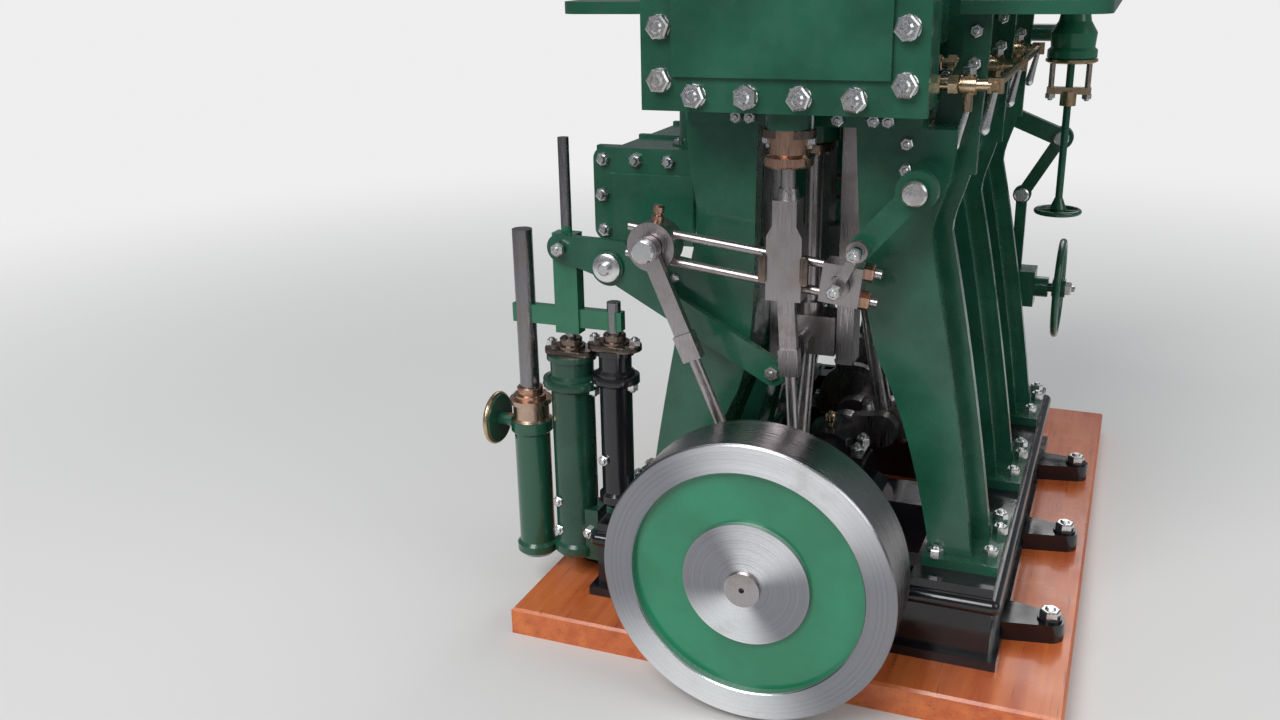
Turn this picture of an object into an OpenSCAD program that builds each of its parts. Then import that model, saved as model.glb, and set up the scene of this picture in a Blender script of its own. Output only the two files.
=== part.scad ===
// Model of an inverted vertical triple-expansion steam engine on its baseboard.
// +Z is up, the crankshaft runs along Y with the flywheel at -Y, and the pumps stand at -X.
// The origin is the middle of the baseboard's underside.

/* [Baseboard and bedplate] */
// Width of the baseboard
board_w = 168; // [150:1:200]
// Length of the baseboard
board_l = 240; // [225:1:280]
// Thickness of the baseboard
board_t = 9; // [8:0.5:14]
// Chamfer along the top edges of the baseboard
board_chamfer = 0.8; // [0.3:0.1:2]
// Width of the bedplate
bed_w = 128; // [124:1:136]
// Height of the bedplate's top face
bed_h = 25; // [22:0.5:27]
// Bedplate beyond the outer column planes
bed_over = 28.7; // [26:0.1:34]
// Radius of the bead round the bedplate
bead_r = 2.4; // [1.5:0.1:3]
// Thickness of the bedplate's walls
bed_wall = 5; // [3:0.5:8]
// Half the length of the wide cross member
bearing_l = 9; // [7:0.5:11]
// Half the width of a bearing pedestal's top
pedestal_x = 15; // [13:0.5:17]
// Edge of the crank pits on the right
pit_right = 38; // [34:0.5:38]
// Edge of the crank pits on the left
pit_left = 30; // [28:0.5:30]
// Reach of the holding-down lugs
lug_reach = 17; // [12:0.5:19]
// Thickness of the lugs
lug_t = 6; // [4:0.5:8]
// Radius of the holding-down bolt holes
lug_bolt_r = 1.8; // [1.2:0.1:2.4]

/* [Running line] */
// Distance between the column planes
col_pitch = 61.4; // [58:0.2:68]
// Middle column plane from the middle of the baseboard
mid_y = -13.2; // [-16:0.2:-8]
// Height of the crankshaft above the baseboard
shaft_z = 34.8; // [34:0.2:36]
// Radius of the crankshaft
shaft_r = 5; // [4:0.1:5.4]
// Running clearance of the shaft in its bearings
run_gap = 0.06; // [0.04:0.01:0.1]
// Crank throw
throw = 13; // [11:0.5:14]
// Length of the connecting rods between centres
rod_l = 66; // [64:0.5:70]
// Crank angle of the low-pressure crank
low_angle = 250; // [230:1:290]
// Angle from each crank to the next
crank_step = 120; // [115:1:125]
// Width of a connecting rod's big end
big_end_w = 9; // [7:0.5:10]
// Thickness of a crank web
web_t = 5.5; // [4:0.5:7]
// Radius of the crank pins
pin_r = 3.6; // [3:0.1:4.2]
// Radius of the piston rods
piston_rod_r = 2.5; // [2:0.1:3]

/* [Flywheel] */
// Radius of the flywheel
wheel_r = 41.5; // [38:0.5:43]
// Width of the flywheel's rim
wheel_w = 18.5; // [14:0.5:19]
// Front face of the flywheel from the middle of the baseboard
wheel_front = 140; // [139:0.5:144]
// Inner radius of the rim
rim_in = 33; // [29:0.5:35]
// Radius of the hub's face
hub_r = 18; // [12:0.5:20]
// Depth of the painted recess
recess = 2.5; // [1:0.1:4]
// How far the shaft end stands out of the hub
shaft_proud = 2.2; // [1:0.1:3.5]

/* [Columns] */
// Height of the column feet above the bedplate
foot_t = 3; // [2:0.5:4]
// Half the length of a column foot
foot_l = 18.4; // [16:0.2:20]
// Outer edge of a right column at its foot
right_foot_x = 53.6; // [52:0.2:55]
// Outer edge of a right column at its waist
right_waist_x = 36.5; // [35.5:0.5:39]
// Outer edge of a right column at its seat
right_top_x = 41.8; // [41:0.2:44]
// Inner edge of a right column at its seat
right_in_x = 15; // [14:0.5:17]
// Inner edge of a right column at its foot
right_foot_in = 41.5; // [40:0.5:43]
// Outer edge of a left column at its foot
left_foot_x = 48; // [46:0.5:50]
// Outer edge of a left column at its waist
left_waist_x = 30.5; // [29:0.5:32]
// Outer edge of a left column at its seat
left_top_x = 34; // [33:0.5:35]
// Inner edge of a left column at its seat
left_in_x = 12.5; // [12:0.5:14]
// Inner edge of a left column at its foot
left_foot_in = 32; // [31:0.5:34]
// Height of the waist
waist_z = 122; // [118:1:126]
// Reach of the middle rib outside the columns
rib_out = 3.8; // [2.5:0.1:4.5]
// Thickness of the middle rib
rib_t = 3.5; // [2.5:0.1:5]
// Outer edge of the horns
horn_x = 47; // [45:0.5:50]
// Width of a horn
horn_w = 7; // [5:0.5:9]
// Height of the seat that carries the cylinders
seat_z = 152; // [150:0.5:154]
// Half the depth of a column
col_d = 15.4; // [14:0.2:16]
// Thickness of a column's face plates
col_plate = 3.5; // [2.5:0.1:4.5]
// Inset of a column's core from its face plates
col_inset = 1.2; // [0.6:0.1:2]

/* [Cylinders] */
// Radius of the low-pressure barrel
low_r = 24.5; // [22:0.5:25]
// Radius of the intermediate barrel
mid_r = 20; // [17:0.5:21]
// Radius of the high-pressure barrel
high_r = 15; // [13:0.5:16.5]
// Thickness of the cylinder base plates
base_t = 4; // [3:0.5:5]
// Half the width of the cylinder base plates
base_x = 33; // [31:0.5:33]
// Half the length of the cylinder base plates
base_l = 17; // [16:0.5:18]
// Height of the neck between base plate and barrel
neck_h = 12; // [9:0.5:14]
// Height of the barrels
barrel_h = 64; // [56:1:72]
// Thickness of the barrel's top flange
flange_t = 3.5; // [2:0.5:5]
// Overhang of the top flanges
flange_over = 2; // [1:0.5:2.5]
// Height of the cylinder covers
cover_t = 4; // [3:0.5:6]

/* [Valve chests] */
// Width of the low-pressure chest cover
low_chest_w = 75.4; // [72:0.2:80]
// Width of the intermediate chest cover
mid_chest_w = 60; // [54:1:64]
// Width of the high-pressure chest cover
high_chest_w = 54; // [50:1:58]
// Bottom of the chest covers
chest_z = 158; // [157:0.5:160]
// Height of the chest covers
chest_h = 70; // [60:0.5:74]
// Thickness of the chest cover's flange
chest_cover_t = 2.6; // [2:0.1:4]
// Height of the cover's raised panel
panel_t = 1.4; // [0.5:0.1:2.5]
// Flange outside the raised panel
panel_margin = 9; // [7:0.2:12]
// Depth of the chest bodies
chest_d = 17.7; // [15:0.1:20]
// Inset of the chest body behind its cover
chest_inset = 1; // [0.5:0.1:2]
// Outer valve spindles from the outer column planes
spindle_off = 28.4; // [28:0.1:29]
// Middle valve spindle from the middle column plane
mid_spindle_off = 27.2; // [27:0.1:27.6]

/* [Valve gear] */
// Radius of the eccentric sheaves
sheave_r = 10.5; // [10.3:0.1:11.5]
// Throw of the eccentrics
sheave_throw = 4; // [3:0.1:4.2]
// Width of the eccentric sheaves
sheave_w = 4.4; // [3:0.1:4.6]
// Eccentric planes from the valve spindle
sheave_off = 5.6; // [5.2:0.1:6]
// Width of the eccentric straps' rings
strap_t = 2.6; // [2:0.1:3.5]
// Thickness of the flat eccentric rods
rod_flat = 2.4; // [2:0.1:3]
// Radius of the double-bar link's bars
bar_r = 1.3; // [1:0.1:1.6]
// Half the distance between the bars
bar_half = 4; // [3.5:0.1:4.5]
// Side of the link's end blocks
block_s = 11; // [9:0.5:12]
// Depth of the link's end blocks
block_d = 8; // [6:0.5:8.5]
// Radius of the valve spindles
spindle_r = 2; // [1.5:0.1:2.4]

/* [Reversing gear] */
// Weigh shaft from the engine's centre
weigh_x = 34.5; // [33:0.5:36]
// Height of the weigh shaft
weigh_z = 138; // [136:0.5:140]
// Radius of the weigh shaft
weigh_r = 3; // [2:0.1:3.5]
// Thickness of the weigh shaft's arms
arm_t = 4; // [3:0.5:5]
// Radius of the reversing handwheel
reverse_wheel_r = 19.5; // [15:0.5:21]
// Height of the reversing screw
reverse_z = 69; // [66:0.5:72]
// Reversing handwheel from the engine's centre
reverse_wheel_x = 63; // [61:0.5:66]

/* [Platforms and stop valve] */
// Top of the column horns, where the platforms rest
platform_z = 181; // [178:0.5:186]
// Thickness of the platforms
platform_t = 3.5; // [2:0.5:5]
// Outer edge of the platforms
platform_x = 77; // [72:0.5:82]
// Inner edge of the platforms
platform_in = 39.5; // [38.5:0.5:41]
// Stop valve from the engine's centre
stop_x = 61; // [60:0.5:64]
// Radius of the stop valve's body
stop_r = 8.5; // [7:0.5:9]
// Radius of the stop valve's handwheel
stop_wheel_r = 8.5; // [6:0.5:10]
// Height of the stop valve's handwheel
stop_wheel_z = 104; // [96:0.5:110]
// Radius of the steam inlet
inlet_r = 3; // [2:0.1:3.5]

/* [Condenser and pumps] */
// Outer side of the condenser's end flanges
cond_out = 79; // [74:0.5:84]
// Inner side of the condenser's end flanges
cond_in = 37; // [35:0.5:39]
// Underside of the condenser's end flanges
cond_z0 = 107; // [104:0.5:110]
// Top of the condenser's end flanges
cond_z1 = 138; // [134:0.5:140]
// Thickness of the condenser's end covers
cond_cover_t = 3; // [2:0.5:4]
// Inset of the condenser's shell inside its flanges
cond_inset = 2.2; // [1.5:0.1:4]
// Radius of the exhaust pipe
exhaust_r = 6; // [4.5:0.1:6.2]
// Exhaust pipe's riser from the engine's centre
exhaust_x = 48; // [47:0.5:52]
// Radius of the receiver pipes
receiver_r = 3.6; // [2.5:0.1:4]
// Radius of the feed pump's barrel
feed_r = 6.9; // [5:0.1:7]
// Radius of the air pump's barrel
air_r = 8; // [6:0.1:8.2]
// Radius of the bilge pump's barrel
bilge_r = 6.2; // [5:0.1:6.4]
// Feed pump from the engine's centre
feed_x = 89; // [88.5:0.5:92]
// Air pump from the engine's centre
air_x = 73.5; // [73:0.1:74]
// Bilge pump from the engine's centre
bilge_x = 58.4; // [58:0.1:58.6]
// Pump line from the front column plane
pump_off = 15.4; // [15:0.1:18]
// Thickness of the pump beam
beam_t = 2.4; // [2:0.1:2.4]

/* [Hidden] */
$fn = 48;
green = "#1f6b40";
steel = "#b9bbbd";
brass = "#c79a4b";
black = "#17181a";
hair = 0.05;
front_y = mid_y - col_pitch;
rear_y = mid_y + col_pitch;
low_gear_y = front_y - spindle_off;
mid_gear_y = mid_y + mid_spindle_off;
high_gear_y = rear_y + spindle_off;
bed_y0 = front_y - bed_over;
bed_y1 = rear_y + bed_over;
bed_l = bed_y1 - bed_y0;
foot_z = bed_h + foot_t;
neck_z = seat_z + base_t;
barrel_z = neck_z + neck_h;
top_z = barrel_z + barrel_h;
chest_back = chest_d / 2;
web_in = big_end_w / 2 + 0.6;
web_out = web_in + web_t;
pump_y = front_y - pump_off;
link_left = [-39, 118.5];
link_right = [16, 112];
link_tilt = atan2(link_right[1] - link_left[1], link_right[0] - link_left[0]);
arm_end = [20.9, 122.4];
pivot = [-57.5, 108.5];
crank_line = [front_y, mid_y, rear_y];
cranks = [for (i = [0:2]) [crank_line[i], low_angle + i * crank_step]];
barrels = [[front_y, low_r], [mid_y, mid_r], [rear_y, high_r]];
bearing_gap = 0.8;
function between(a, b) = [(a + b) / 2, (b - a) / 2 - bearing_gap];
sheave_end = sheave_off + sheave_w / 2;
front_bearing = between(low_gear_y + sheave_end, front_y - web_out);
bearings = [
  front_bearing, [(front_y + mid_y) / 2, bearing_l],
  between(mid_gear_y + sheave_end, rear_y - web_out), [2 * mid_y - front_bearing[0], front_bearing[1]],
];

// Everything but the baseboard stands on the baseboard's top.
module on_board() translate([0, 0, board_t]) children();

// A solid of an outline drawn in X and Z, from y0 over a depth along +Y.
module face_y(y0, depth) translate([0, y0 + depth, 0]) rotate([90, 0, 0]) linear_extrude(depth) children();

// A round bar along Y.
module bar_y(x, z, r, y0, y1) translate([x, y0, z]) rotate([-90, 0, 0]) cylinder(r = r, h = y1 - y0);

// A round bar along X.
module bar_x(y, z, r, x0, x1) translate([x0, y, z]) rotate([0, 90, 0]) cylinder(r = r, h = x1 - x0);

// A flat link in X and Z between two eyes.
module flat_link(a, b, width, y0, depth, eye_a, eye_b) {
  length = norm(b - a);
  face_y(y0, depth) {
    translate(a) circle(eye_a);
    translate(b) circle(eye_b);
    translate(a) rotate(atan2(b[1] - a[1], b[0] - a[0])) translate([0, -width / 2]) square([length, width]);
  }
}

// A round rod in X and Z between two points at one Y.
module round_link(a, b, r, y) {
  turn = atan2(b[0] - a[0], b[1] - a[1]);
  translate([a[0], y, a[1]]) rotate([0, turn, 0]) cylinder(r = r, h = norm(b - a));
}

function bez(a, b, c, d, n) = [
  for (i = [0:n])
    let (t = i / n)
      (1 - t)^3 * a + 3 * (1 - t)^2 * t * b + 3 * (1 - t) * t^2 * c + t^3 * d
];

function reversed(list) = [for (i = [len(list) - 1:-1:0]) list[i]];

// The engine's front gear is mirrored to its rear end about the middle column plane.
module rear_end() translate([0, 2 * mid_y, 0]) mirror([0, 1, 0]) children();

// The front gear is repeated for the middle cylinder.
module mid_gear() translate([0, mid_gear_y - low_gear_y, 0]) children();

// The middle chest turns its cover away from its own cylinder.
module mid_chest() translate([0, mid_gear_y + low_gear_y, 0]) mirror([0, 1, 0]) children();

module baseboard() {
  c = board_chamfer;
  color("#b5652a") intersection() {
    face_y(-board_l / 2, board_l) polygon([
      [-board_w / 2, 0], [board_w / 2, 0], [board_w / 2, board_t - c], [board_w / 2 - c, board_t],
      [c - board_w / 2, board_t], [-board_w / 2, board_t - c],
    ]);
    rotate([0, 0, 90]) face_y(-board_w / 2, board_w) polygon([
      [-board_l / 2, 0], [board_l / 2, 0], [board_l / 2, board_t - c], [board_l / 2 - c, board_t],
      [c - board_l / 2, board_t], [-board_l / 2, board_t - c],
    ]);
  }
}

module lug() {
  tip = lug_reach - 4.5;
  difference() {
    union() {
      translate([-1, 0, 0]) linear_extrude(lug_t) polygon([[0, -7], [tip + 1, -4.5], [tip + 1, 4.5], [0, 7]]);
      translate([tip, 0, 0]) cylinder(r = 4.5, h = lug_t);
      translate([tip, 0, lug_t]) cylinder(r = 3.6, h = 0.8);
    }
    translate([tip, 0, -1]) cylinder(r = lug_bolt_r, h = lug_t + 3);
  }
}

module pedestal(y, half_l) {
  half = pedestal_x;
  face_y(y - half_l, 2 * half_l) polygon([
    [-half - 4, 4], [half + 4, 4], [half + 4, bed_h], [half, bed_h + 2], [half - 2, shaft_z],
    [2 - half, shaft_z], [-half, bed_h + 2], [-half - 4, bed_h],
  ]);
}

module bedplate() on_board() color(black) {
  plinth = 3;
  bead_z = bed_h - 3 - bead_r;
  half = bed_w / 2 - bead_r;
  strap_z = 14;
  strap_x = 18;
  pit_ends = concat([bed_y0 + bed_wall], [for (b = bearings, s = [-1, 1]) b[0] + s * b[1]], [bed_y1 - bed_wall]);
  difference() {
    union() {
      translate([-bed_w / 2, bed_y0, 0]) cube([bed_w, bed_l, plinth]);
      translate([-half, bed_y0 + bead_r, 0]) cube([2 * half, bed_l - 2 * bead_r, bed_h]);
      for (x = [-half, half]) bar_y(x, bead_z, bead_r, bed_y0 + bead_r, bed_y1 - bead_r);
      for (y = [bed_y0 + bead_r, bed_y1 - bead_r]) bar_x(y, bead_z, bead_r, -half, half);
      for (x = [-half, half], y = [bed_y0 + bead_r, bed_y1 - bead_r]) translate([x, y, bead_z]) sphere(bead_r);
      for (y = crank_line, s = [0, 1]) mirror([s, 0, 0]) translate([bed_w / 2 - 0.01, y - 3, 0]) lug();
    }
    for (i = [0:2:len(pit_ends) - 1])
      translate([-pit_left, pit_ends[i], -1]) cube([pit_left + pit_right, pit_ends[i + 1] - pit_ends[i], bed_h + 2]);
    for (y = [bed_y0, bed_y1]) translate([-strap_x, y - bed_wall - 1, strap_z])
      cube([2 * strap_x, 2 * bed_wall + 2, bed_h]);
  }
  difference() {
    for (b = bearings) pedestal(b[0], b[1]);
    bar_y(0, shaft_z, shaft_r + run_gap, bed_y0, bed_y1);
  }
}

module main_bearing_caps() on_board() color(black) difference() {
  for (b = bearings) face_y(b[0] - b[1] + 0.8, 2 * b[1] - 1.6) polygon([
    [-12.5, shaft_z], [12.5, shaft_z], [12.5, shaft_z + 3.5], [8, shaft_z + 3.5], [7, shaft_z + 9],
    [3, shaft_z + 11], [-3, shaft_z + 11], [-7, shaft_z + 9], [-8, shaft_z + 3.5], [-12.5, shaft_z + 3.5],
  ]);
  bar_y(0, shaft_z, shaft_r + run_gap, bed_y0, bed_y1);
}

// Each side's column: outer edge at foot, waist and seat, inner edge at seat and foot, and the arch's shoulder.
right_side = [right_foot_x, right_waist_x, right_top_x, right_in_x, right_foot_in, [right_in_x + 11.5, 81]];
left_side = [left_foot_x, left_waist_x, left_top_x, left_in_x, left_foot_in, [left_in_x + 5.5, 72]];

// The outer edge of a column from foot to seat, moved out by a reach.
function outer_edge(c, out) = concat(
  bez([c[0] + out, foot_z], [c[0] - 4 + out, 56], [c[1] + 6.5 + out, 94], [c[1] + out, waist_z], 10),
  bez([c[1] + out, waist_z], [c[1] + out, waist_z + 8], [c[2] + out, waist_z + 13], [c[2] + out, seat_z], 8)
);

// The inner edge of a column from seat to foot, drawn in by an inset.
function inner_edge(c, inset) = concat(
  bez([c[3] + inset, seat_z], [c[3] + 2 + inset, 118], [c[5][0] - 7 + inset, 92], c[5] + [inset, 0], 8),
  bez(c[5] + [inset, 0], c[5] + [5 + inset, -10], [c[4] - 3.5 + inset, 49], [c[4] + inset, foot_z], 8)
);

module column(y, c) {
  foot_x = bed_w / 2 - bead_r;
  translate([c[4] - 1.5, y - foot_l, bed_h]) cube([foot_x - c[4] + 1.5, 2 * foot_l, foot_t]);
  for (y0 = [y - col_d, y + col_d - col_plate]) face_y(y0, col_plate)
    polygon(concat(outer_edge(c, 0), inner_edge(c, 0)));
  face_y(y - col_d + 1, 2 * col_d - 2) polygon(concat(outer_edge(c, -col_inset), inner_edge(c, col_inset)));
  face_y(y - rib_t / 2, rib_t) {
    polygon(concat(outer_edge(c, rib_out), reversed(outer_edge(c, -4))));
    polygon(concat(
      bez([c[2] + rib_out, waist_z + 16], [c[2] + rib_out, seat_z + 8], [horn_x, seat_z + 8], [horn_x, platform_z], 8),
      [[horn_x - horn_w, platform_z], [horn_x - horn_w, platform_z - 10], [base_x + 1.5, seat_z + 6],
        [base_x + 0.6, seat_z], [c[2] - 5, waist_z + 16]]
    ));
  }
}

module right_column(y) on_board() color(green) difference() {
  union() {
    column(y, right_side);
    bar_y(weigh_x, weigh_z, weigh_r + 2.5, y - col_d - 1.5, y + col_d + 1.5);
  }
  bar_y(weigh_x, weigh_z, weigh_r + run_gap, y - 2 * col_d, y + 2 * col_d);
}

module left_column(y) on_board() color(green) mirror([1, 0, 0]) column(y, left_side);

module condenser_pad(y) on_board() color(green)
  translate([-cond_in - cond_inset, y - 8, cond_z0 + 4]) cube([cond_in + cond_inset - 24, 16, 22]);

module front_columns() {
  left_column(front_y);
  right_column(front_y);
  on_board() color(green) flat_link(pivot, [-30, pivot[1] - 4], 11, front_y - col_d, 4, 6.5, 7);
}

module middle_columns() {
  left_column(mid_y);
  right_column(mid_y);
  condenser_pad(mid_y);
}

module rear_columns() {
  left_column(rear_y);
  right_column(rear_y);
  condenser_pad(rear_y);
}

low_saddle = 30;
mid_saddle = 24;
high_saddle = 19;
drain_y = -8;
drain_z = 163;

// A cylinder casting over a column plane, with its saddle from y0 to y1 towards the chest.
module cylinder_casting(y, r, saddle, y0, y1) difference() {
  union() {
    translate([-base_x, y - base_l, seat_z]) cube([2 * base_x, 2 * base_l, base_t]);
    translate([0, y, neck_z - 1]) cylinder(r = r - 6, h = neck_h + 2);
    translate([0, y, barrel_z]) cylinder(r = r, h = barrel_h);
    translate([0, y, top_z - flange_t]) cylinder(r = r + flange_over, h = flange_t);
    for (z = [0, 0.5, 0.9]) translate([0, y, barrel_z + z * (barrel_h - flange_t)]) cylinder(r = r + 0.6, h = 2);
    translate([-saddle, y0, barrel_z]) cube([2 * saddle, y1 - y0, chest_h - 14]);
    translate([0, y, seat_z - 6]) cylinder(r = 7, h = 7);
    bar_x(y + drain_y, drain_z, 3, 0, r - 6);
  }
  translate([0, y, seat_z - 7]) cylinder(r = piston_rod_r + run_gap, h = neck_h + 12);
}

exhaust_y = (front_y + mid_y) / 2 + 2.5;
exhaust_z = neck_z + exhaust_r + 1.5;
duct_x = 21;

module low_cylinder() on_board() color(green) {
  cylinder_casting(front_y, low_r, low_saddle, low_gear_y + chest_back, front_y);
  translate([-duct_x, front_y + 12, exhaust_z - exhaust_r]) cube([16, exhaust_y + 6 - front_y - 12, 2 * exhaust_r]);
}

module mid_cylinder() on_board() color(green)
  cylinder_casting(mid_y, mid_r, mid_saddle, mid_y, mid_gear_y - chest_back);

module high_cylinder() on_board() color(green)
  cylinder_casting(rear_y, high_r, high_saddle, rear_y, high_gear_y - chest_back);

module cylinder_cover(y, r) {
  translate([0, y, top_z]) cylinder(r = r + flange_over, h = cover_t);
  translate([0, y, top_z + cover_t]) cylinder(r1 = r - 5, r2 = r - 7, h = 2.5);
  translate([0, y, top_z + cover_t]) cylinder(r = 4.5, h = 5);
}

module cylinder_covers() on_board() color(green) for (b = barrels) cylinder_cover(b[0], b[1]);

// A valve chest at the front end, around its spindle and against a barrel behind it.
module chest_body(width, off, r) difference() {
  union() {
    translate([-width / 2 + chest_inset, low_gear_y - chest_back, chest_z + chest_inset])
      cube([width - 2 * chest_inset, chest_d, chest_h - 2 * chest_inset]);
    translate([0, low_gear_y, chest_z - 5]) cylinder(r = 6.2, h = 7);
  }
  translate([0, low_gear_y, chest_z - 6]) cylinder(r = spindle_r + run_gap, h = 30);
  translate([0, low_gear_y + off, chest_z - 6]) cylinder(r = r + 0.6 + hair, h = chest_h + 12);
}

module chest_cover(width) {
  flange_y = low_gear_y - chest_back - chest_cover_t;
  translate([-width / 2, flange_y, chest_z]) cube([width, chest_cover_t, chest_h]);
  translate([panel_margin - width / 2, flange_y - panel_t, chest_z + panel_margin])
    cube([width - 2 * panel_margin, panel_t + 0.5, chest_h - 2 * panel_margin]);
}

module low_valve_chest() on_board() color(green) chest_body(low_chest_w, spindle_off, low_r);

module mid_valve_chest() on_board() color(green) mid_chest() chest_body(mid_chest_w, mid_spindle_off, mid_r);

module high_valve_chest() on_board() color(green) rear_end() chest_body(high_chest_w, spindle_off, high_r);

module chest_covers() on_board() color(green) {
  chest_cover(low_chest_w);
  mid_chest() chest_cover(mid_chest_w);
  rear_end() chest_cover(high_chest_w);
}

// One gland: a flanged bush under a stuffing box.
module gland(y, r, z) translate([0, y, z]) rotate_extrude() polygon([
  [r + run_gap, -4], [r + 1.6, -4], [r + 2.2, -2.4], [r + 3.4, -2.4], [r + 3.4, 0], [r + run_gap, 0],
]);

module stuffing_glands() on_board() color(brass) {
  for (y = crank_line) gland(y, piston_rod_r, seat_z - 6);
  for (y = [low_gear_y, mid_gear_y, high_gear_y]) gland(y, spindle_r, chest_z - 5);
}

// A walkway plate on the right, with rounded corners.
module platform() {
  x0 = platform_in;
  y0 = front_y - 8;
  y1 = rear_y + 12;
  corner = 6;
  translate([0, 0, platform_z]) linear_extrude(platform_t) {
    translate([x0, y0]) square([platform_x - corner - x0, y1 - y0]);
    translate([x0, y0 + corner]) square([platform_x - x0, y1 - y0 - 2 * corner]);
    for (y = [y0 + corner, y1 - corner]) translate([platform_x - corner, y]) circle(corner);
  }
}

module platforms() on_board() color(green) {
  mirror([1, 0, 0]) platform();
  difference() {
    platform();
    translate([stop_x, rear_y, platform_z - 1]) cylinder(r = 5 + hair, h = platform_t + 2);
  }
}

function crank_pin(a) = [throw * cos(a), shaft_z + throw * sin(a)];
function crosshead_z(a) = crank_pin(a)[1] + sqrt(rod_l^2 - crank_pin(a)[0]^2);

module crosshead(y, a) {
  z = crosshead_z(a);
  difference() {
    translate([-8.7, y - 5.5, z - 6]) cube([17.4, 11, 12]);
    translate([-6.5, y - 3, z - 7]) cube([13, 6, 12]);
  }
  bar_y(0, z, 1.8, y - 4, y + 4);
  translate([0, y, z + 5.5]) cylinder(r = 4, h = 4);
  translate([0, y, z + 5]) cylinder(r = piston_rod_r, h = neck_z + 3 - z - 5);
}

beam_y = pump_y - 2.6 - beam_t;

// The front crosshead's pin reaches forward to the pump link.
module piston_rods() on_board() color(steel) {
  for (c = cranks) crosshead(c[0], c[1]);
  bar_y(0, crosshead_z(low_angle), 1.8, beam_y + beam_t + hair, front_y - 4);
}

module connecting_rod(y, a) {
  pin = crank_pin(a);
  z = crosshead_z(a);
  turn = atan2(-pin[0], z - pin[1]);
  translate([pin[0], y, pin[1]]) rotate([0, turn, 0]) difference() {
    union() {
      translate([-7.5, -big_end_w / 2, -5.5]) cube([15, big_end_w, 11]);
      translate([0, 0, 5]) cylinder(r1 = 3.2, r2 = 2.2, h = rod_l - 8.5);
      rotate([90, 0, 0]) translate([0, rod_l, -2.8]) cylinder(r = 4.3, h = 5.6);
    }
    rotate([90, 0, 0]) translate([0, 0, -10]) cylinder(r = pin_r + hair, h = 20);
    rotate([90, 0, 0]) translate([0, rod_l, -10]) cylinder(r = 1.8 + hair, h = 20);
  }
}

module connecting_rods() on_board() color(steel) for (c = cranks) connecting_rod(c[0], c[1]);

// A slide bar against a column's inner face, free below the arch's shoulder.
module slide_bar(y, c) {
  low = shaft_z + rod_l - throw - 8;
  top = seat_z - 0.3;
  edge = [for (p = inner_edge(c, col_inset)) if (p[1] > seat_z - 44 && p[1] < top) p - [0.1, 0]];
  face_y(y - 4.5, 9) polygon(concat(
    [[9, top], [9, low], [c[3] - 1, low], [c[3] - 1, seat_z - 48]], reversed(edge), [[c[3] + col_inset - 0.1, top]]
  ));
}

module crosshead_guides() on_board() color(steel) for (y = crank_line) {
  slide_bar(y, right_side);
  mirror([1, 0, 0]) slide_bar(y, left_side);
}

module web_pair(y, a) for (s = [-1, 1]) {
  y0 = s > 0 ? y + web_in : y - web_out;
  flat_link([0, shaft_z], crank_pin(a), 12, y0, web_t, 7, 6);
}

coupling_y = high_gear_y + sheave_end + 1.6;
coupling_r = 4.4;
coupling_l = 12;

module crankshaft() on_board() color(steel) {
  for (c = cranks) {
    web_pair(c[0], c[1]);
    bar_y(crank_pin(c[1])[0], crank_pin(c[1])[1], pin_r, c[0] - web_in - 1, c[0] + web_in + 1);
  }
  bar_y(0, shaft_z, shaft_r, front_y + web_out - 1, mid_y - web_out + 1);
  bar_y(0, shaft_z, shaft_r, mid_y + web_out - 1, rear_y - web_out + 1);
  bar_y(0, shaft_z, shaft_r, rear_y + web_out - 1, coupling_y);
  bar_y(0, shaft_z, coupling_r, coupling_y - 1, coupling_y + coupling_l);
}

module flywheel() on_board() color(steel) translate([0, -wheel_front, shaft_z]) rotate([-90, 0, 0]) rotate_extrude()
  polygon([
    [shaft_r + 0.02, -0.8], [hub_r, 0.9], [hub_r, recess], [rim_in, recess], [rim_in, 0.4], [rim_in + 0.4, 0],
    [wheel_r - 0.5, 0], [wheel_r, 0.5], [wheel_r, wheel_w - 0.5], [wheel_r - 0.5, wheel_w],
    [rim_in, wheel_w], [rim_in, wheel_w - recess], [hub_r, wheel_w - recess], [hub_r - 6, wheel_w],
    [shaft_r + 4, wheel_w + 2], [shaft_r + 0.02, wheel_w + 2],
  ]);

module flywheel_shaft() on_board() color(steel) difference() {
  bar_y(0, shaft_z, shaft_r, -wheel_front - shaft_proud, front_y - web_out - 0.3);
  bar_y(0, shaft_z, 0.8, -wheel_front - shaft_proud - 1, -wheel_front);
}

// Centre of an eccentric: ahead leans to the left, astern to the right.
function sheave_at(a) = [sheave_throw * cos(a), shaft_z + sheave_throw * sin(a)];
ahead_angle = 150;
astern_angle = -30;
ahead_y = low_gear_y - sheave_off;
astern_y = low_gear_y + sheave_off;
astern_pin = [-2, 112.5];

module sheave(a, y) difference() {
  bar_y(sheave_at(a)[0], sheave_at(a)[1], sheave_r, y - sheave_w / 2, y + sheave_w / 2);
  bar_y(0, shaft_z, shaft_r + run_gap, y - 5, y + 5);
}

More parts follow.
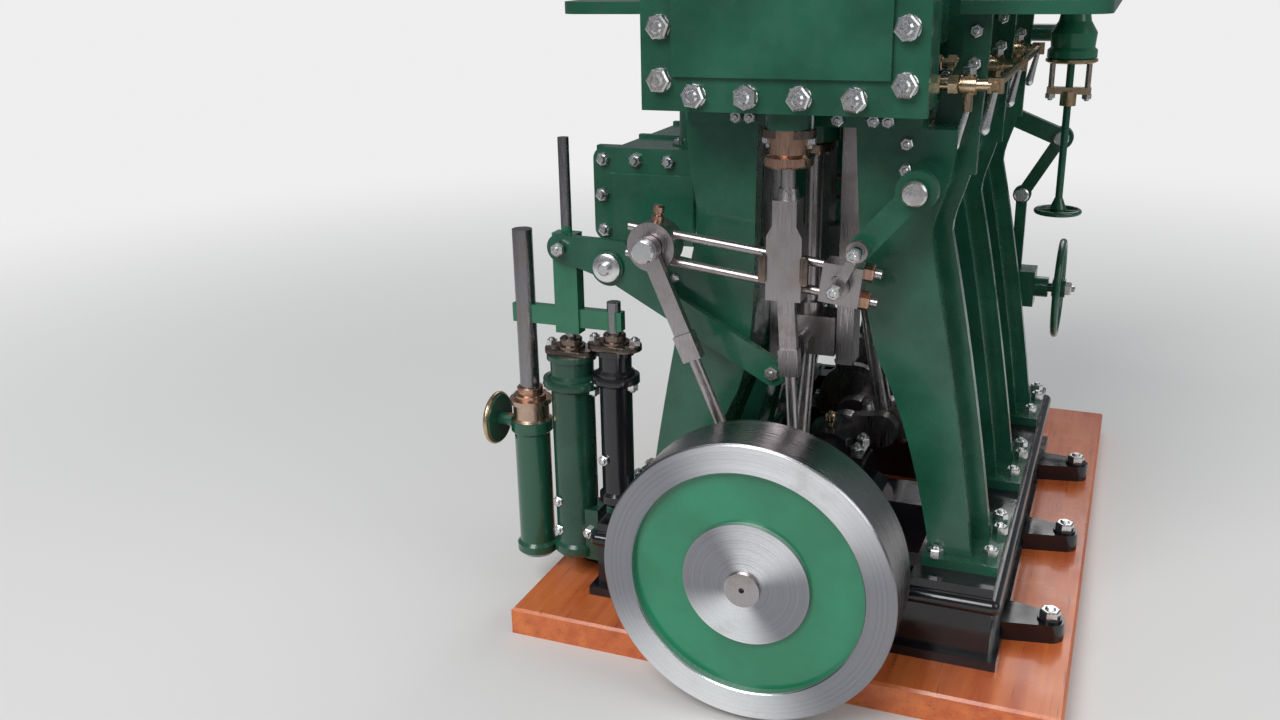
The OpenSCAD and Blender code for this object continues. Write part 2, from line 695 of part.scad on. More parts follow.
// A strap with its rod: flat and forked above, round below, pinned at the top.
module eccentric_rod(a, y, top, flat_part) {
  c = sheave_at(a);
  reach = norm(top - c);
  aim = (top - c) / reach;
  foot = c + aim * (sheave_r + strap_t);
  joint = c + aim * (reach * (1 - flat_part));
  difference() {
    union() {
      bar_y(c[0], c[1], sheave_r + strap_t, y - sheave_w / 2 + 0.3, y + sheave_w / 2 - 0.3);
      translate([c[0], y, c[1]]) rotate([0, atan2(aim[0], aim[1]), 0]) {
        for (x = [-1, 1]) translate([x * (sheave_r + 2.6) - 1.8, -1.7, -2.5]) cube([3.6, 3.4, 5]);
        translate([-3.4, -1.9, sheave_r + 1.5]) cube([6.8, 3.8, 4]);
      }
      round_link(foot, joint, 1.7, y);
      flat_link(joint, top, 5, y - rod_flat / 2, rod_flat, 3, 3.6);
      translate([joint[0], y, joint[1]]) rotate([0, atan2(aim[0], aim[1]), 0])
        translate([-2.9, -1.9, -4]) cube([5.8, 3.8, 8]);
    }
    bar_y(c[0], c[1], sheave_r + hair, y - 5, y + 5);
    bar_y(top[0], top[1], 1.6 + hair, y - 5, y + 5);
  }
}

// The link's frame starts at its left end and runs along its bars.
module link_frame() translate([link_left[0], low_gear_y, link_left[1]]) rotate([0, -link_tilt, 0]) children();

link_l = norm(link_right - link_left);
mid_link_start = 12;
function link_point(along) = link_left + along / link_l * (link_right - link_left);

// A double-bar link that starts at a distance along the frame: a boss, two bars and a block.
module expansion_link(start) {
  left = link_point(start);
  link_frame() {
    difference() {
      union() {
        bar_y(start, 0, 7.2, -block_d / 2, block_d / 2);
        translate([link_l - block_s / 2, -block_d / 2, -block_s / 2]) cube([block_s, block_d, block_s]);
      }
      for (z = [-bar_half, bar_half]) bar_x(0, z, bar_r - 0.3, start - block_s, link_l + block_s);
    }
    for (z = [-bar_half, bar_half]) {
      bar_x(0, z, bar_r, start - block_s / 2 - 3, link_l + block_s / 2 + 4.5);
      bar_x(0, z, bar_r + 0.9, link_l + block_s / 2, link_l + block_s / 2 + 2.2);
    }
    for (y = [-block_d / 2 - 1, block_d / 2]) bar_y(link_l, 0, 3, y, y + 1);
  }
  bar_y(left[0], left[1], 1.6, ahead_y - rod_flat / 2 - 1.6, low_gear_y);
  bar_y(left[0], left[1], 4, ahead_y - rod_flat / 2 - 2.4, ahead_y - rod_flat / 2 - 0.3);
  bar_y(link_right[0], link_right[1], 1.6, low_gear_y - block_d / 2 - 4, low_gear_y);
}

// The spindle ends in a fork that holds the die on the link's bars.
module valve_rod() difference() {
  union() {
    translate([0, low_gear_y, 130]) cylinder(r = spindle_r, h = chest_z + 20 - 130);
    translate([0, low_gear_y, 133]) cylinder(r1 = 3.4, r2 = 2.6, h = 4);
    face_y(low_gear_y - 3.6, 7.2) polygon([[-5, 106], [5, 106], [5, 124], [3.4, 127], [3.4, 134], [-3.4, 134],
      [-3.4, 127], [-5, 124]]);
    bar_y(astern_pin[0], astern_pin[1], 1.6, low_gear_y, astern_y + 2.2);
  }
  for (z = [-bar_half, bar_half]) link_frame() bar_x(0, z, bar_r + hair, link_l - 40, link_l);
}

// What each of the three gears has, at the front, in the middle and mirrored at the rear.
module each_gear() {
  children();
  mid_gear() children();
  rear_end() children();
}

module eccentrics() on_board() color(steel) each_gear() {
  sheave(ahead_angle, ahead_y);
  sheave(astern_angle, astern_y);
}

module eccentric_rods() on_board() color(steel) {
  each_gear() eccentric_rod(astern_angle, astern_y, astern_pin, 0.34);
  eccentric_rod(ahead_angle, ahead_y, link_left, 0.34);
  mid_gear() eccentric_rod(ahead_angle, ahead_y, link_point(mid_link_start), 0.34);
  rear_end() eccentric_rod(ahead_angle, ahead_y, link_left, 0.34);
}

module expansion_links() on_board() color(steel) {
  expansion_link(0);
  mid_gear() expansion_link(mid_link_start);
  rear_end() expansion_link(0);
}

module valve_rods() on_board() color(steel) each_gear() valve_rod();

reverse_pin = [59, 128];
reverse_foot = [46, 105];
reverse_arm_y = rear_y + col_d + 3;

// The arm that moves the right end of the front link, with its pin.
module reversing_arm() {
  y = low_gear_y - arm_t / 2;
  flat_link([weigh_x, weigh_z], arm_end, 6.5, y, arm_t, 5.5, 3.4);
  bar_y(arm_end[0], arm_end[1], 1.6, y - 4, y);
}

module drag_link() difference() {
  flat_link(arm_end, link_right, 2.6, low_gear_y - block_d / 2 - 3.9, 2.2, 2.9, 2.9);
  for (p = [arm_end, link_right]) bar_y(p[0], p[1], 1.6 + hair, low_gear_y - 12, low_gear_y);
}

module drag_links() on_board() color(steel) each_gear() drag_link();

module weigh_shaft() on_board() color(green) {
  bar_y(weigh_x, weigh_z, weigh_r, low_gear_y - 4, high_gear_y + 4);
  each_gear() reversing_arm();
  flat_link([weigh_x, weigh_z], reverse_pin, 6.5, reverse_arm_y, arm_t, 6, 4.2);
  bar_y(reverse_pin[0], reverse_pin[1], 2.2, reverse_arm_y, reverse_arm_y + arm_t + 3.4);
}

module reversing_gear() on_board() color(green) {
  y0 = rear_y + col_d;
  y = reverse_arm_y + arm_t + 0.2;
  difference() {
    union() {
      flat_link(reverse_pin, reverse_foot, 4.6, y, 3, 3.8, 3.4);
      flat_link(reverse_foot, [reverse_foot[0], reverse_z + 4], 4, y, 3, 3.4, 3.4);
      translate([34, y0, reverse_z - 7]) cube([20, 12, 14]);
      bar_x(y0 + 6, reverse_z, 4, 53, reverse_wheel_x - 4);
    }
    bar_y(reverse_pin[0], reverse_pin[1], 2.2 + hair, y - 1, y + 4);
    bar_x(y0 + 6, reverse_z, 1.8 + run_gap, 40, reverse_wheel_x);
  }
}

// A handwheel about +Z: rim, four spokes and a hub.
module handwheel(r, rim, hub, hub_h) {
  rotate_extrude() translate([r - rim, 0]) circle(rim);
  for (a = [0:90:270]) rotate([0, 90, a]) translate([0, 0, hub - 1]) cylinder(r = rim * 0.62, h = r - hub - rim + 1.2);
  translate([0, 0, -hub_h / 2]) cylinder(r = hub, h = hub_h);
}

module reversing_handwheel() on_board() color(green)
  translate([reverse_wheel_x, rear_y + col_d + 6, reverse_z]) rotate([0, 90, 0]) {
    handwheel(reverse_wheel_r, 1.3, 3.6, 5);
    translate([0, 0, -reverse_wheel_x + 44]) cylinder(r = 1.8, h = reverse_wheel_x - 44);
  }

module stop_valve() on_board() color(green) translate([stop_x, rear_y, 0]) {
  difference() {
    union() {
      rotate_extrude() polygon([
        [0, 158], [stop_r - 1.5, 158], [stop_r, 159.5], [stop_r, 162], [stop_r - 1, 163], [stop_r - 0.6, 168],
        [stop_r - 3, 172], [5, 175], [5, platform_z + platform_t + 0.2], [stop_r, platform_z + platform_t + 0.2],
        [stop_r, platform_z + platform_t + 3], [0, platform_z + platform_t + 3],
      ]);
      translate([0, stop_r - 3, 166]) rotate([-90, 0, 0]) cylinder(r = 4, h = 6);
    }
    translate([0, 0, 170]) cylinder(r = inlet_r, h = 40);
    translate([0, 0, 150]) cylinder(r = 1.3 + run_gap, h = 14);
  }
  for (x = [-6.2, 6.2]) translate([x, 0, 149]) cylinder(r = 1, h = 9.5);
}

module stop_valve_yoke() on_board() color(brass) translate([stop_x, rear_y, 0]) difference() {
  union() {
    translate([-7.5, -1.8, 146.6]) cube([15, 3.6, 2.4]);
    translate([0, 0, 142.5]) cylinder(r = 2.8, h = 5);
  }
  translate([0, 0, 140]) cylinder(r = 1.3 + run_gap, h = 12);
}

module stop_valve_handwheel() on_board() color(green) translate([stop_x, rear_y, stop_wheel_z]) {
  handwheel(stop_wheel_r, 0.9, 2.4, 3);
  cylinder(r = 1.3, h = 162 - stop_wheel_z);
  translate([0, 0, 1]) cylinder(r1 = 3, r2 = 1.4, h = 4);
}

// Steam pipe from the stop valve back and inwards to the high-pressure chest.
module steam_pipe() on_board() color(green) {
  bend = 8;
  y0 = rear_y + stop_r + 3;
  y1 = high_gear_y;
  bar_y(stop_x, 166, 3.2, y0, y1 - bend);
  bar_y(stop_x, 166, 5.4, y0, y0 + 2);
  translate([stop_x - bend, y1 - bend, 166]) rotate_extrude(angle = 90) translate([bend, 0]) circle(3.2);
  bar_x(y1, 166, 3.2, high_chest_w / 2 - chest_inset, stop_x - bend);
  bar_x(y1, 166, 5.4, high_chest_w / 2 - chest_inset, high_chest_w / 2 + 1);
}

// A pipe on the left from a saddle's side at y1 forward to a chest's side at y0, with two bends and two flanges.
module receiver_pipe(y0, x0, y1, x1, x) {
  bend = 6;
  z = 206;
  bar_y(-x, z, receiver_r, y0 + bend, y1 - bend);
  translate([bend - x, y0 + bend, z]) rotate_extrude(angle = 90, start = 180) translate([bend, 0]) circle(receiver_r);
  translate([bend - x, y1 - bend, z]) rotate_extrude(angle = 90, start = 90) translate([bend, 0]) circle(receiver_r);
  bar_x(y0, z, receiver_r, bend - x, -x0);
  bar_x(y0, z, receiver_r + 2, -x0 - 2, -x0);
  bar_x(y1, z, receiver_r, bend - x, -x1);
  bar_x(y1, z, receiver_r + 2, -x1 - 2, -x1);
}

module receiver_pipes() on_board() color(green) {
  receiver_pipe(mid_gear_y, mid_chest_w / 2 - chest_inset, rear_y + 8, high_saddle, 40);
  receiver_pipe(low_gear_y, low_chest_w / 2 - chest_inset, mid_y + 8, mid_saddle, 47);
}

cond_y0 = mid_y - 40.7;
cond_y1 = rear_y + 12;

module condenser() on_board() color(green) {
  z0 = cond_z0 + cond_inset;
  h = cond_z1 - cond_z0 - 2 * cond_inset;
  w = cond_out - cond_in - 2 * cond_inset;
  translate([-cond_out + cond_inset, cond_y0, z0]) cube([w, cond_y1 - cond_y0, h]);
  for (y = [cond_y0, cond_y1 - 3]) translate([-cond_out, y, cond_z0]) cube([cond_out - cond_in, 3, cond_z1 - cond_z0]);
  for (y = [cond_y0 + 34, cond_y0 + 68]) translate([-cond_out + 1, y, z0 - 1])
    cube([w + cond_inset - 1, 2.4, h + 2]);
}

module condenser_covers() on_board() color(green) for (y = [cond_y0 - cond_cover_t, cond_y1]) {
  r = 4;
  face_y(y, cond_cover_t) {
    translate([-cond_out + r, cond_z0]) square([cond_out - cond_in - 2 * r, cond_z1 - cond_z0]);
    translate([-cond_out, cond_z0 + r]) square([cond_out - cond_in, cond_z1 - cond_z0 - 2 * r]);
    for (x = [-cond_out + r, -cond_in - r], z = [cond_z0 + r, cond_z1 - r]) translate([x, z]) circle(r);
  }
}

module exhaust_pipe() on_board() color(green) {
  bend = 9;
  foot = cond_z1 - cond_inset;
  bar_x(exhaust_y, exhaust_z, exhaust_r, bend - exhaust_x, -duct_x);
  bar_x(exhaust_y, exhaust_z, exhaust_r + 2, -duct_x - 2, -duct_x);
  translate([bend - exhaust_x, exhaust_y, exhaust_z - bend]) rotate([90, 0, 0])
    rotate_extrude(angle = 90, start = 90) translate([bend, 0]) circle(exhaust_r);
  translate([-exhaust_x, exhaust_y, foot]) cylinder(r = exhaust_r, h = exhaust_z - bend - foot);
  translate([-exhaust_x, exhaust_y, foot]) cylinder(r = exhaust_r + 2.4, h = 2.6);
}

// A pump barrel with its flanges, in outline from the axis.
module pump_barrel(x, r, z0, z1) translate([-x, pump_y, 0]) rotate_extrude() polygon([
  [0, z0], [r - 1.5, z0], [r, z0 + 1.5], [r, z0 + 4], [r - 1, z0 + 5], [r - 1, z1 - 12], [r, z1 - 11],
  [r, z1 - 7.5], [r - 1, z1 - 6.5], [r - 1, z1 - 2], [r, z1 - 1.6], [r, z1], [0, z1],
]);

feed_top = 61;
air_top = 78;
bilge_top = 81;

module feed_pump() on_board() color(green) {
  difference() {
    pump_barrel(feed_x, feed_r, 5, feed_top);
    translate([-feed_x, pump_y, feed_top - 20]) cylinder(r = 3.2 + hair, h = 30);
  }
  bar_x(pump_y, 52, 2.2, -feed_x - 12, -feed_x - feed_r + 2);
  bar_x(pump_y, 52, 8, -feed_x - 14, -feed_x - 11.6);
}

module air_pump() on_board() color(green) difference() {
  union() {
    pump_barrel(air_x, air_r, 8, air_top);
    translate([-air_x + 3, pump_y - 5, 8]) cube([air_x - 3 - bed_w / 2, 10, 18]);
  }
  translate([-air_x, pump_y, air_top - 30]) cylinder(r = 1.7 + hair, h = 40);
}

module bilge_pump() on_board() color(green) difference() {
  pump_barrel(bilge_x, bilge_r, foot_z, bilge_top);
  translate([-bilge_x, pump_y, bilge_top - 30]) cylinder(r = 2.2 + hair, h = 40);
}

module pump_rods() on_board() color(steel) {
  bar_z = 87;
  joint_z = 113;
  translate([-feed_x, pump_y, feed_top - 15]) cylinder(r = 3.2, h = 117 - feed_top + 15);
  translate([-air_x, pump_y, air_top - 20]) cylinder(r = 1.7, h = 146 - air_top + 20);
  translate([-bilge_x, pump_y, bilge_top - 20]) cylinder(r = 2.2, h = bar_z + 9 - bilge_top + 20);
  translate([-feed_x - 4, pump_y - 1.6, bar_z]) cube([feed_x - bilge_x + 7, 3.2, 6]);
  translate([-air_x - 4, pump_y - 2.4, bar_z - 2]) cube([8, 4.8, joint_z + 6 - bar_z]);
  bar_y(-air_x, joint_z, 1.6, pump_y - 6.5, pump_y);
}

beam_end = [-6, 80.5];

module pump_beam() on_board() color(green) difference() {
  union() {
    flat_link([-air_x, 113], pivot, 8, beam_y, beam_t, 4.5, 6);
    flat_link(pivot, beam_end, 8, beam_y, beam_t, 6, 4);
    face_y(beam_y, beam_t) polygon([[-air_x, 117], [pivot[0] + 5, 116.5], [-36, 101], [-36, 96],
      [pivot[0], 104], [-air_x, 109]]);
    bar_y(pivot[0], pivot[1], 5, beam_y - 1, beam_y + beam_t + 2);
    bar_y(pivot[0], pivot[1], 3, beam_y - 1.4, front_y - col_d - hair);
    bar_y(beam_end[0], beam_end[1], 1.6, beam_y, beam_y + beam_t + 2.6);
  }
  bar_y(-air_x, 113, 1.6 + hair, beam_y - 1, beam_y + beam_t + 1);
}

module pump_link() on_board() color(steel) difference() {
  top = [0, crosshead_z(low_angle)];
  flat_link(beam_end, top, 3.4, beam_y + beam_t + 0.2, 2, 3, 3.4);
  bar_y(beam_end[0], beam_end[1], 1.6 + hair, beam_y, front_y);
  bar_y(top[0], top[1], 1.8 + hair, beam_y, front_y);
}

// Brass drain cocks under the cylinders, joined by their working rod.
module drain_pipes() on_board() color(brass) {
  rod_x = 50;
  for (b = barrels) {
    bar_x(b[0] + drain_y, drain_z, 1.6, b[1] - 6, rod_x - 1);
    bar_x(b[0] + drain_y, drain_z, 2.6, rod_x - 9, rod_x - 5);
    translate([rod_x - 7, b[0] + drain_y, drain_z - 7]) cylinder(r = 1.3, h = 10);
    translate([rod_x - 2, b[0] + drain_y - 1.5, drain_z - 2]) cube([4, 3, 4]);
  }
  bar_y(rod_x, drain_z, 1.1, front_y + drain_y - 3, rear_y + drain_y + 3);
}

baseboard();
bedplate();
main_bearing_caps();
front_columns();
middle_columns();
rear_columns();
low_cylinder();
mid_cylinder();
high_cylinder();
cylinder_covers();
low_valve_chest();
mid_valve_chest();
high_valve_chest();
chest_covers();
platforms();
stuffing_glands();
piston_rods();
connecting_rods();
crosshead_guides();
crankshaft();
flywheel();
flywheel_shaft();
eccentrics();
eccentric_rods();
expansion_links();
valve_rods();
drag_links();
weigh_shaft();
reversing_gear();
reversing_handwheel();
stop_valve();
stop_valve_yoke();
stop_valve_handwheel();
steam_pipe();
receiver_pipes();
condenser();
condenser_covers();
exhaust_pipe();
feed_pump();
air_pump();
bilge_pump();
pump_rods();
pump_beam();
pump_link();
drain_pipes();
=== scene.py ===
"""Finishes, fasteners and trim for the model of an inverted vertical marine engine."""

from __future__ import annotations

import logging
import math
from dataclasses import dataclass, field
from enum import Enum
from typing import Iterable, Iterator, Protocol, Sequence

import bmesh
import bpy
from mathutils import Matrix, Vector


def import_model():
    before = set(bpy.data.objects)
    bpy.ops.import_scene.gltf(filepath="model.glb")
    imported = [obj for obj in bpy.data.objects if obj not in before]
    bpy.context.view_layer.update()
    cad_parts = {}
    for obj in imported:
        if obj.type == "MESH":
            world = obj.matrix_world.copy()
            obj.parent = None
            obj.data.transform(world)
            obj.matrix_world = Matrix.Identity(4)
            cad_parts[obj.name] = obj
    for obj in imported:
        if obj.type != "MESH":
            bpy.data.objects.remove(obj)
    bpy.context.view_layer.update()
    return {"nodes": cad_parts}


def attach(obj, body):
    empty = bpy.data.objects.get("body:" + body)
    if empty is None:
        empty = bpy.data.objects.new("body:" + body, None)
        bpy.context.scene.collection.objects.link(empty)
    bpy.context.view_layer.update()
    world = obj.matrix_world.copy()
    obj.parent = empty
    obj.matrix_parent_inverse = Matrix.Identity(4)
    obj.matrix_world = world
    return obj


LOG = logging.getLogger("engine")
MM = 0.001
# Millimetres: the baseboard's thickness, and the shaft's height above its top.
BOARD_T = 9.0
SHAFT_Z = 34.8
# Metres: the depth of fine scratches, a washer's thickness, and how far nuts sink in.
SCRATCH = 0.04 * MM
WASHER_T = 0.5 * MM
SUNK = 0.15 * MM

Number = float | int
Point = tuple[float, float, float]
Colour = tuple[float, float, float]
Pair = tuple[float, float]


class Axis(Enum):
    """The six directions in which a fastener or a turned piece can point."""

    RIGHT = (1, 0, 0)
    LEFT = (-1, 0, 0)
    BACK = (0, 1, 0)
    FRONT = (0, -1, 0)
    UP = (0, 0, 1)
    DOWN = (0, 0, -1)

    def turn(self) -> Matrix:
        """Returns the rotation that takes +Z to this direction."""
        return Vector(self.value).to_track_quat("Z", "Y").to_matrix().to_4x4()

    @classmethod
    def facing(cls, way: int) -> "Axis":
        """Returns the direction along Y that a sign stands for."""
        return cls.BACK if way > 0 else cls.FRONT


class Wire:
    """One output of a shader node, with arithmetic that adds Math nodes."""

    def __init__(self, graph: "Graph", socket: bpy.types.NodeSocket) -> None:
        """Keeps the graph and the socket that carries the value."""
        self.graph = graph
        self.socket = socket

    def __add__(self, other: "Wire | Number") -> "Wire":
        """Returns the sum."""
        return self.graph.math("ADD", self, other)

    __radd__ = __add__

    def __sub__(self, other: "Wire | Number") -> "Wire":
        """Returns the difference."""
        return self.graph.math("SUBTRACT", self, other)

    def __rsub__(self, other: Number) -> "Wire":
        """Returns a number minus this value."""
        return self.graph.math("SUBTRACT", other, self)

    def __mul__(self, other: "Wire | Number") -> "Wire":
        """Returns the product."""
        return self.graph.math("MULTIPLY", self, other)

    __rmul__ = __mul__

    def __gt__(self, other: "Wire | Number") -> "Wire":
        """Returns 1 where this value is greater, else 0."""
        return self.graph.math("GREATER_THAN", self, other)

    def __lt__(self, other: "Wire | Number") -> "Wire":
        """Returns 1 where this value is less, else 0."""
        return self.graph.math("LESS_THAN", self, other)


class Graph:
    """A material under construction."""

    def __init__(self, name: str) -> None:
        """Makes an empty node material.

        Args:
            name: The material's name.
        """
        self.material = bpy.data.materials.new(name)
        self.material.use_nodes = True
        self.tree = self.material.node_tree
        self.tree.nodes.clear()

    def node(
        self, kind: str, settings: dict[str, object] | None = None, **sockets: object
    ) -> bpy.types.Node:
        """Adds a node, sets its settings first and then its sockets.

        Args:
            kind: The node's type without its ShaderNode prefix.
            settings: Attributes of the node.
            **sockets: Values or wires by socket name, with underscores for spaces.

        Returns:
            The new node.
        """
        made = self.tree.nodes.new("ShaderNode" + kind)
        for key, value in (settings or {}).items():
            setattr(made, key, value)
        for key, value in sockets.items():
            name = key.replace("_", " ").lower()
            self.feed(next(s for s in made.inputs if s.enabled and s.name.lower() == name), value)
        return made

    def feed(self, socket: bpy.types.NodeSocket, value: object) -> None:
        """Links a wire to a socket, or sets the socket's own value.

        Args:
            socket: The input to feed.
            value: A wire, or what the input is set to.
        """
        if isinstance(value, Wire):
            self.tree.links.new(value.socket, socket)
        else:
            socket.default_value = value

    def out(self, made: bpy.types.Node, name: str | None = None) -> Wire:
        """Picks one output of a node.

        Args:
            made: The node.
            name: The output's name; without it the first enabled output is picked.

        Returns:
            The output as a wire.
        """
        if name:
            return Wire(self, made.outputs[name])
        return Wire(self, next(s for s in made.outputs if s.enabled))

    def math(self, operation: str, a: object, b: object = 0.0, kind: str = "Math") -> Wire:
        """Adds a Math node, or a VectorMath node, for two values.

        Args:
            operation: The node's operation.
            a: The first value or wire.
            b: The second value or wire.
            kind: The node's type.

        Returns:
            The result.
        """
        made = self.node(kind, {"operation": operation})
        for socket, value in zip(made.inputs, (a, b)):
            self.feed(socket, value)
        return self.out(made)

    def place(self, scale: Point = (1, 1, 1), shift: Point = (0, 0, 0)) -> Wire:
        """Takes Object coordinates and centres and stretches them.

        Args:
            scale: Stretch of the pattern along each axis.
            shift: Metres taken from each coordinate before the stretch.

        Returns:
            The coordinates.
        """
        here = self.out(self.node("TexCoord"), "Object")
        here = self.math("SUBTRACT", here, shift, "VectorMath")
        return self.math("MULTIPLY", here, scale, "VectorMath")

    def vector(
        self, x: "Wire | Number", y: "Wire | Number" = 0.0, z: "Wire | Number" = 0.0
    ) -> Wire:
        """Returns a vector made of three values."""
        return self.out(self.node("CombineXYZ", X=x, Y=y, Z=z))

    def axis(self, where: Wire, index: int) -> Wire:
        """Returns one coordinate of a vector."""
        return Wire(self, self.node("SeparateXYZ", Vector=where).outputs[index])

    def noise(self, where: Wire, scale: float, detail: float = 3.0, rough: float = 0.55) -> Wire:
        """Returns fractal noise between 0 and 1 at a number of cells to the metre."""
        made = self.node("TexNoise", Vector=where, Scale=scale, Detail=detail, Roughness=rough)
        return self.out(made, "Fac")

    def fade(
        self, value: Wire, low: float, high: float, to_low: float = 0.0, to_high: float = 1.0
    ) -> Wire:
        """Maps a value smoothly from one range to another.

        Args:
            value: The value.
            low: Where the first range starts.
            high: Where the first range ends.
            to_low: What the start becomes.
            to_high: What the end becomes.

        Returns:
            The mapped value.
        """
        made = self.node(
            "MapRange",
            {"interpolation_type": "SMOOTHSTEP"},
            Value=value,
            From_Min=low,
            From_Max=high,
            To_Min=to_low,
            To_Max=to_high,
        )
        return self.out(made, "Result")

    def mix(self, factor: "Wire | Number", a: "Wire | Colour", b: "Wire | Colour") -> Wire:
        """Mixes two colours.

        Args:
            factor: Share of the second colour.
            a: The first colour.
            b: The second colour.

        Returns:
            The mixed colour.
        """
        made = self.node("Mix", {"data_type": "RGBA"})
        for index, value in ((0, factor), (6, a), (7, b)):
            self.feed(made.inputs[index], (*value, 1.0) if isinstance(value, tuple) else value)
        return Wire(self, made.outputs[2])

    def inside(self, low: Point, high: Point) -> Wire:
        """Marks the inside of a box.

        Args:
            low: The box's lowest corner in metres.
            high: The box's highest corner in metres.

        Returns:
            1 inside the box, else 0.
        """
        here = self.place()
        mask = None
        for index in range(3):
            value = self.axis(here, index)
            part = (value > low[index]) * (value < high[index])
            mask = part if mask is None else mask * part
        return mask

    def bump(self, height: Wire, strength: float, distance: float) -> Wire:
        """Returns a normal raised by a height, at a depth in metres."""
        made = self.node("Bump", Height=height, Strength=strength, Distance=distance)
        return self.out(made, "Normal")

    def surface(self, **sockets: object) -> bpy.types.Material:
        """Adds the shader and the output.

        Args:
            **sockets: Values or wires for the shader, by socket name with underscores for spaces.

        Returns:
            The finished material.
        """
        shader = self.node("BsdfPrincipled", **sockets)
        self.feed(self.node("OutputMaterial").inputs["Surface"], self.out(shader))
        return self.material


@dataclass(frozen=True)
class Enamel:
    """Brushed-on gloss enamel over a casting."""

    name: str
    colour: Colour
    shade: Colour
    film: Colour
    gloss: float = 0.16
    cloud_cells: float = 45.0
    film_cells: float = 90.0
    wear_cells: float = 160.0
    casting_cells: float = 620.0
    grain_cells: float = 2600.0
    film_share: float = 0.55
    film_dulling: float = 0.12
    wear: float = 0.20
    bump: float = 0.30
    depth: float = 0.1 * MM
    coat: float = 0.30
    coat_rough: float = 0.10

    def make(self) -> bpy.types.Material:
        """Paints a tone with clouds and an oily film over the grain of the casting.

        Returns:
            The material.
        """
        g = Graph(self.name)
        where = g.place()
        cloud = g.fade(g.noise(where, self.cloud_cells, 4.0), 0.30, 0.72)
        tone = g.mix(cloud, self.shade, self.colour)
        oil = g.fade(g.noise(g.place((1, 1, 0.6)), self.film_cells, 5.0, 0.65), 0.60, 0.82)
        tone = g.mix(oil * self.film_share, tone, self.film)
        casting = g.noise(where, self.casting_cells, 3.0)
        grain = g.noise(where, self.grain_cells, 2.0)
        height = casting * 0.8 + grain * 0.2
        wear = g.noise(where, self.wear_cells, 4.0)
        rough = g.fade(wear, 0.3, 0.75, self.gloss, self.gloss + self.wear)
        return g.surface(
            Base_Color=tone,
            Roughness=rough + oil * self.film_dulling,
            Normal=g.bump(height, self.bump, self.depth),
            Coat_Weight=self.coat,
            Coat_Roughness=self.coat_rough,
        )


@dataclass(frozen=True)
class Steel:
    """Bright drawn or filed steel, with its marks along one axis."""

    name: str
    colour: Colour
    along: Point
    rough: float
    stain: Colour = (0.30, 0.25, 0.20)
    mark_cells: float = 2600.0
    stain_cells: float = 130.0
    stain_share: float = 0.6
    stain_dulling: float = 0.16
    spread: Pair = (0.06, 0.12)
    bump: float = 0.22

    def make(self) -> bpy.types.Material:
        """Draws fine marks along the bar and lets patches of stain dull it.

        Returns:
            The material.
        """
        g = Graph(self.name)
        marks = g.noise(g.place(self.along), self.mark_cells, 3.0)
        patch = g.fade(g.noise(g.place(), self.stain_cells, 4.0, 0.62), 0.46, 0.78)
        tone = g.mix(patch * self.stain_share, self.colour, self.stain)
        less, more = self.spread
        rough = g.fade(marks, 0.3, 0.7, self.rough - less, self.rough + more)
        return g.surface(
            Base_Color=tone,
            Metallic=1.0,
            Roughness=rough + patch * self.stain_dulling,
            Normal=g.bump(marks, self.bump, SCRATCH),
        )


@dataclass(frozen=True)
class Brass:
    """Yellow or red metal with a light tarnish."""

    name: str
    colour: Colour
    tarnish: Colour = (0.30, 0.16, 0.06)
    rough: float = 0.24
    scratch_cells: float = 1900.0
    tarnish_cells: float = 210.0
    tarnish_share: float = 0.7
    tarnish_dulling: float = 0.2
    spread: Pair = (0.05, 0.08)
    bump: float = 0.18

    def make(self) -> bpy.types.Material:
        """Scratches the metal lightly and tarnishes it in patches.

        Returns:
            The material.
        """
        g = Graph(self.name)
        patch = g.fade(g.noise(g.place(), self.tarnish_cells, 5.0, 0.62), 0.42, 0.80)
        scratch = g.noise(g.place((1, 1, 0.12)), self.scratch_cells, 2.0)
        tone = g.mix(patch * self.tarnish_share, self.colour, self.tarnish)
        less, more = self.spread
        rough = g.fade(scratch, 0.3, 0.7, self.rough - less, self.rough + more)
        return g.surface(
            Base_Color=tone,
            Metallic=1.0,
            Roughness=rough + patch * self.tarnish_dulling,
            Normal=g.bump(scratch, self.bump, SCRATCH),
        )


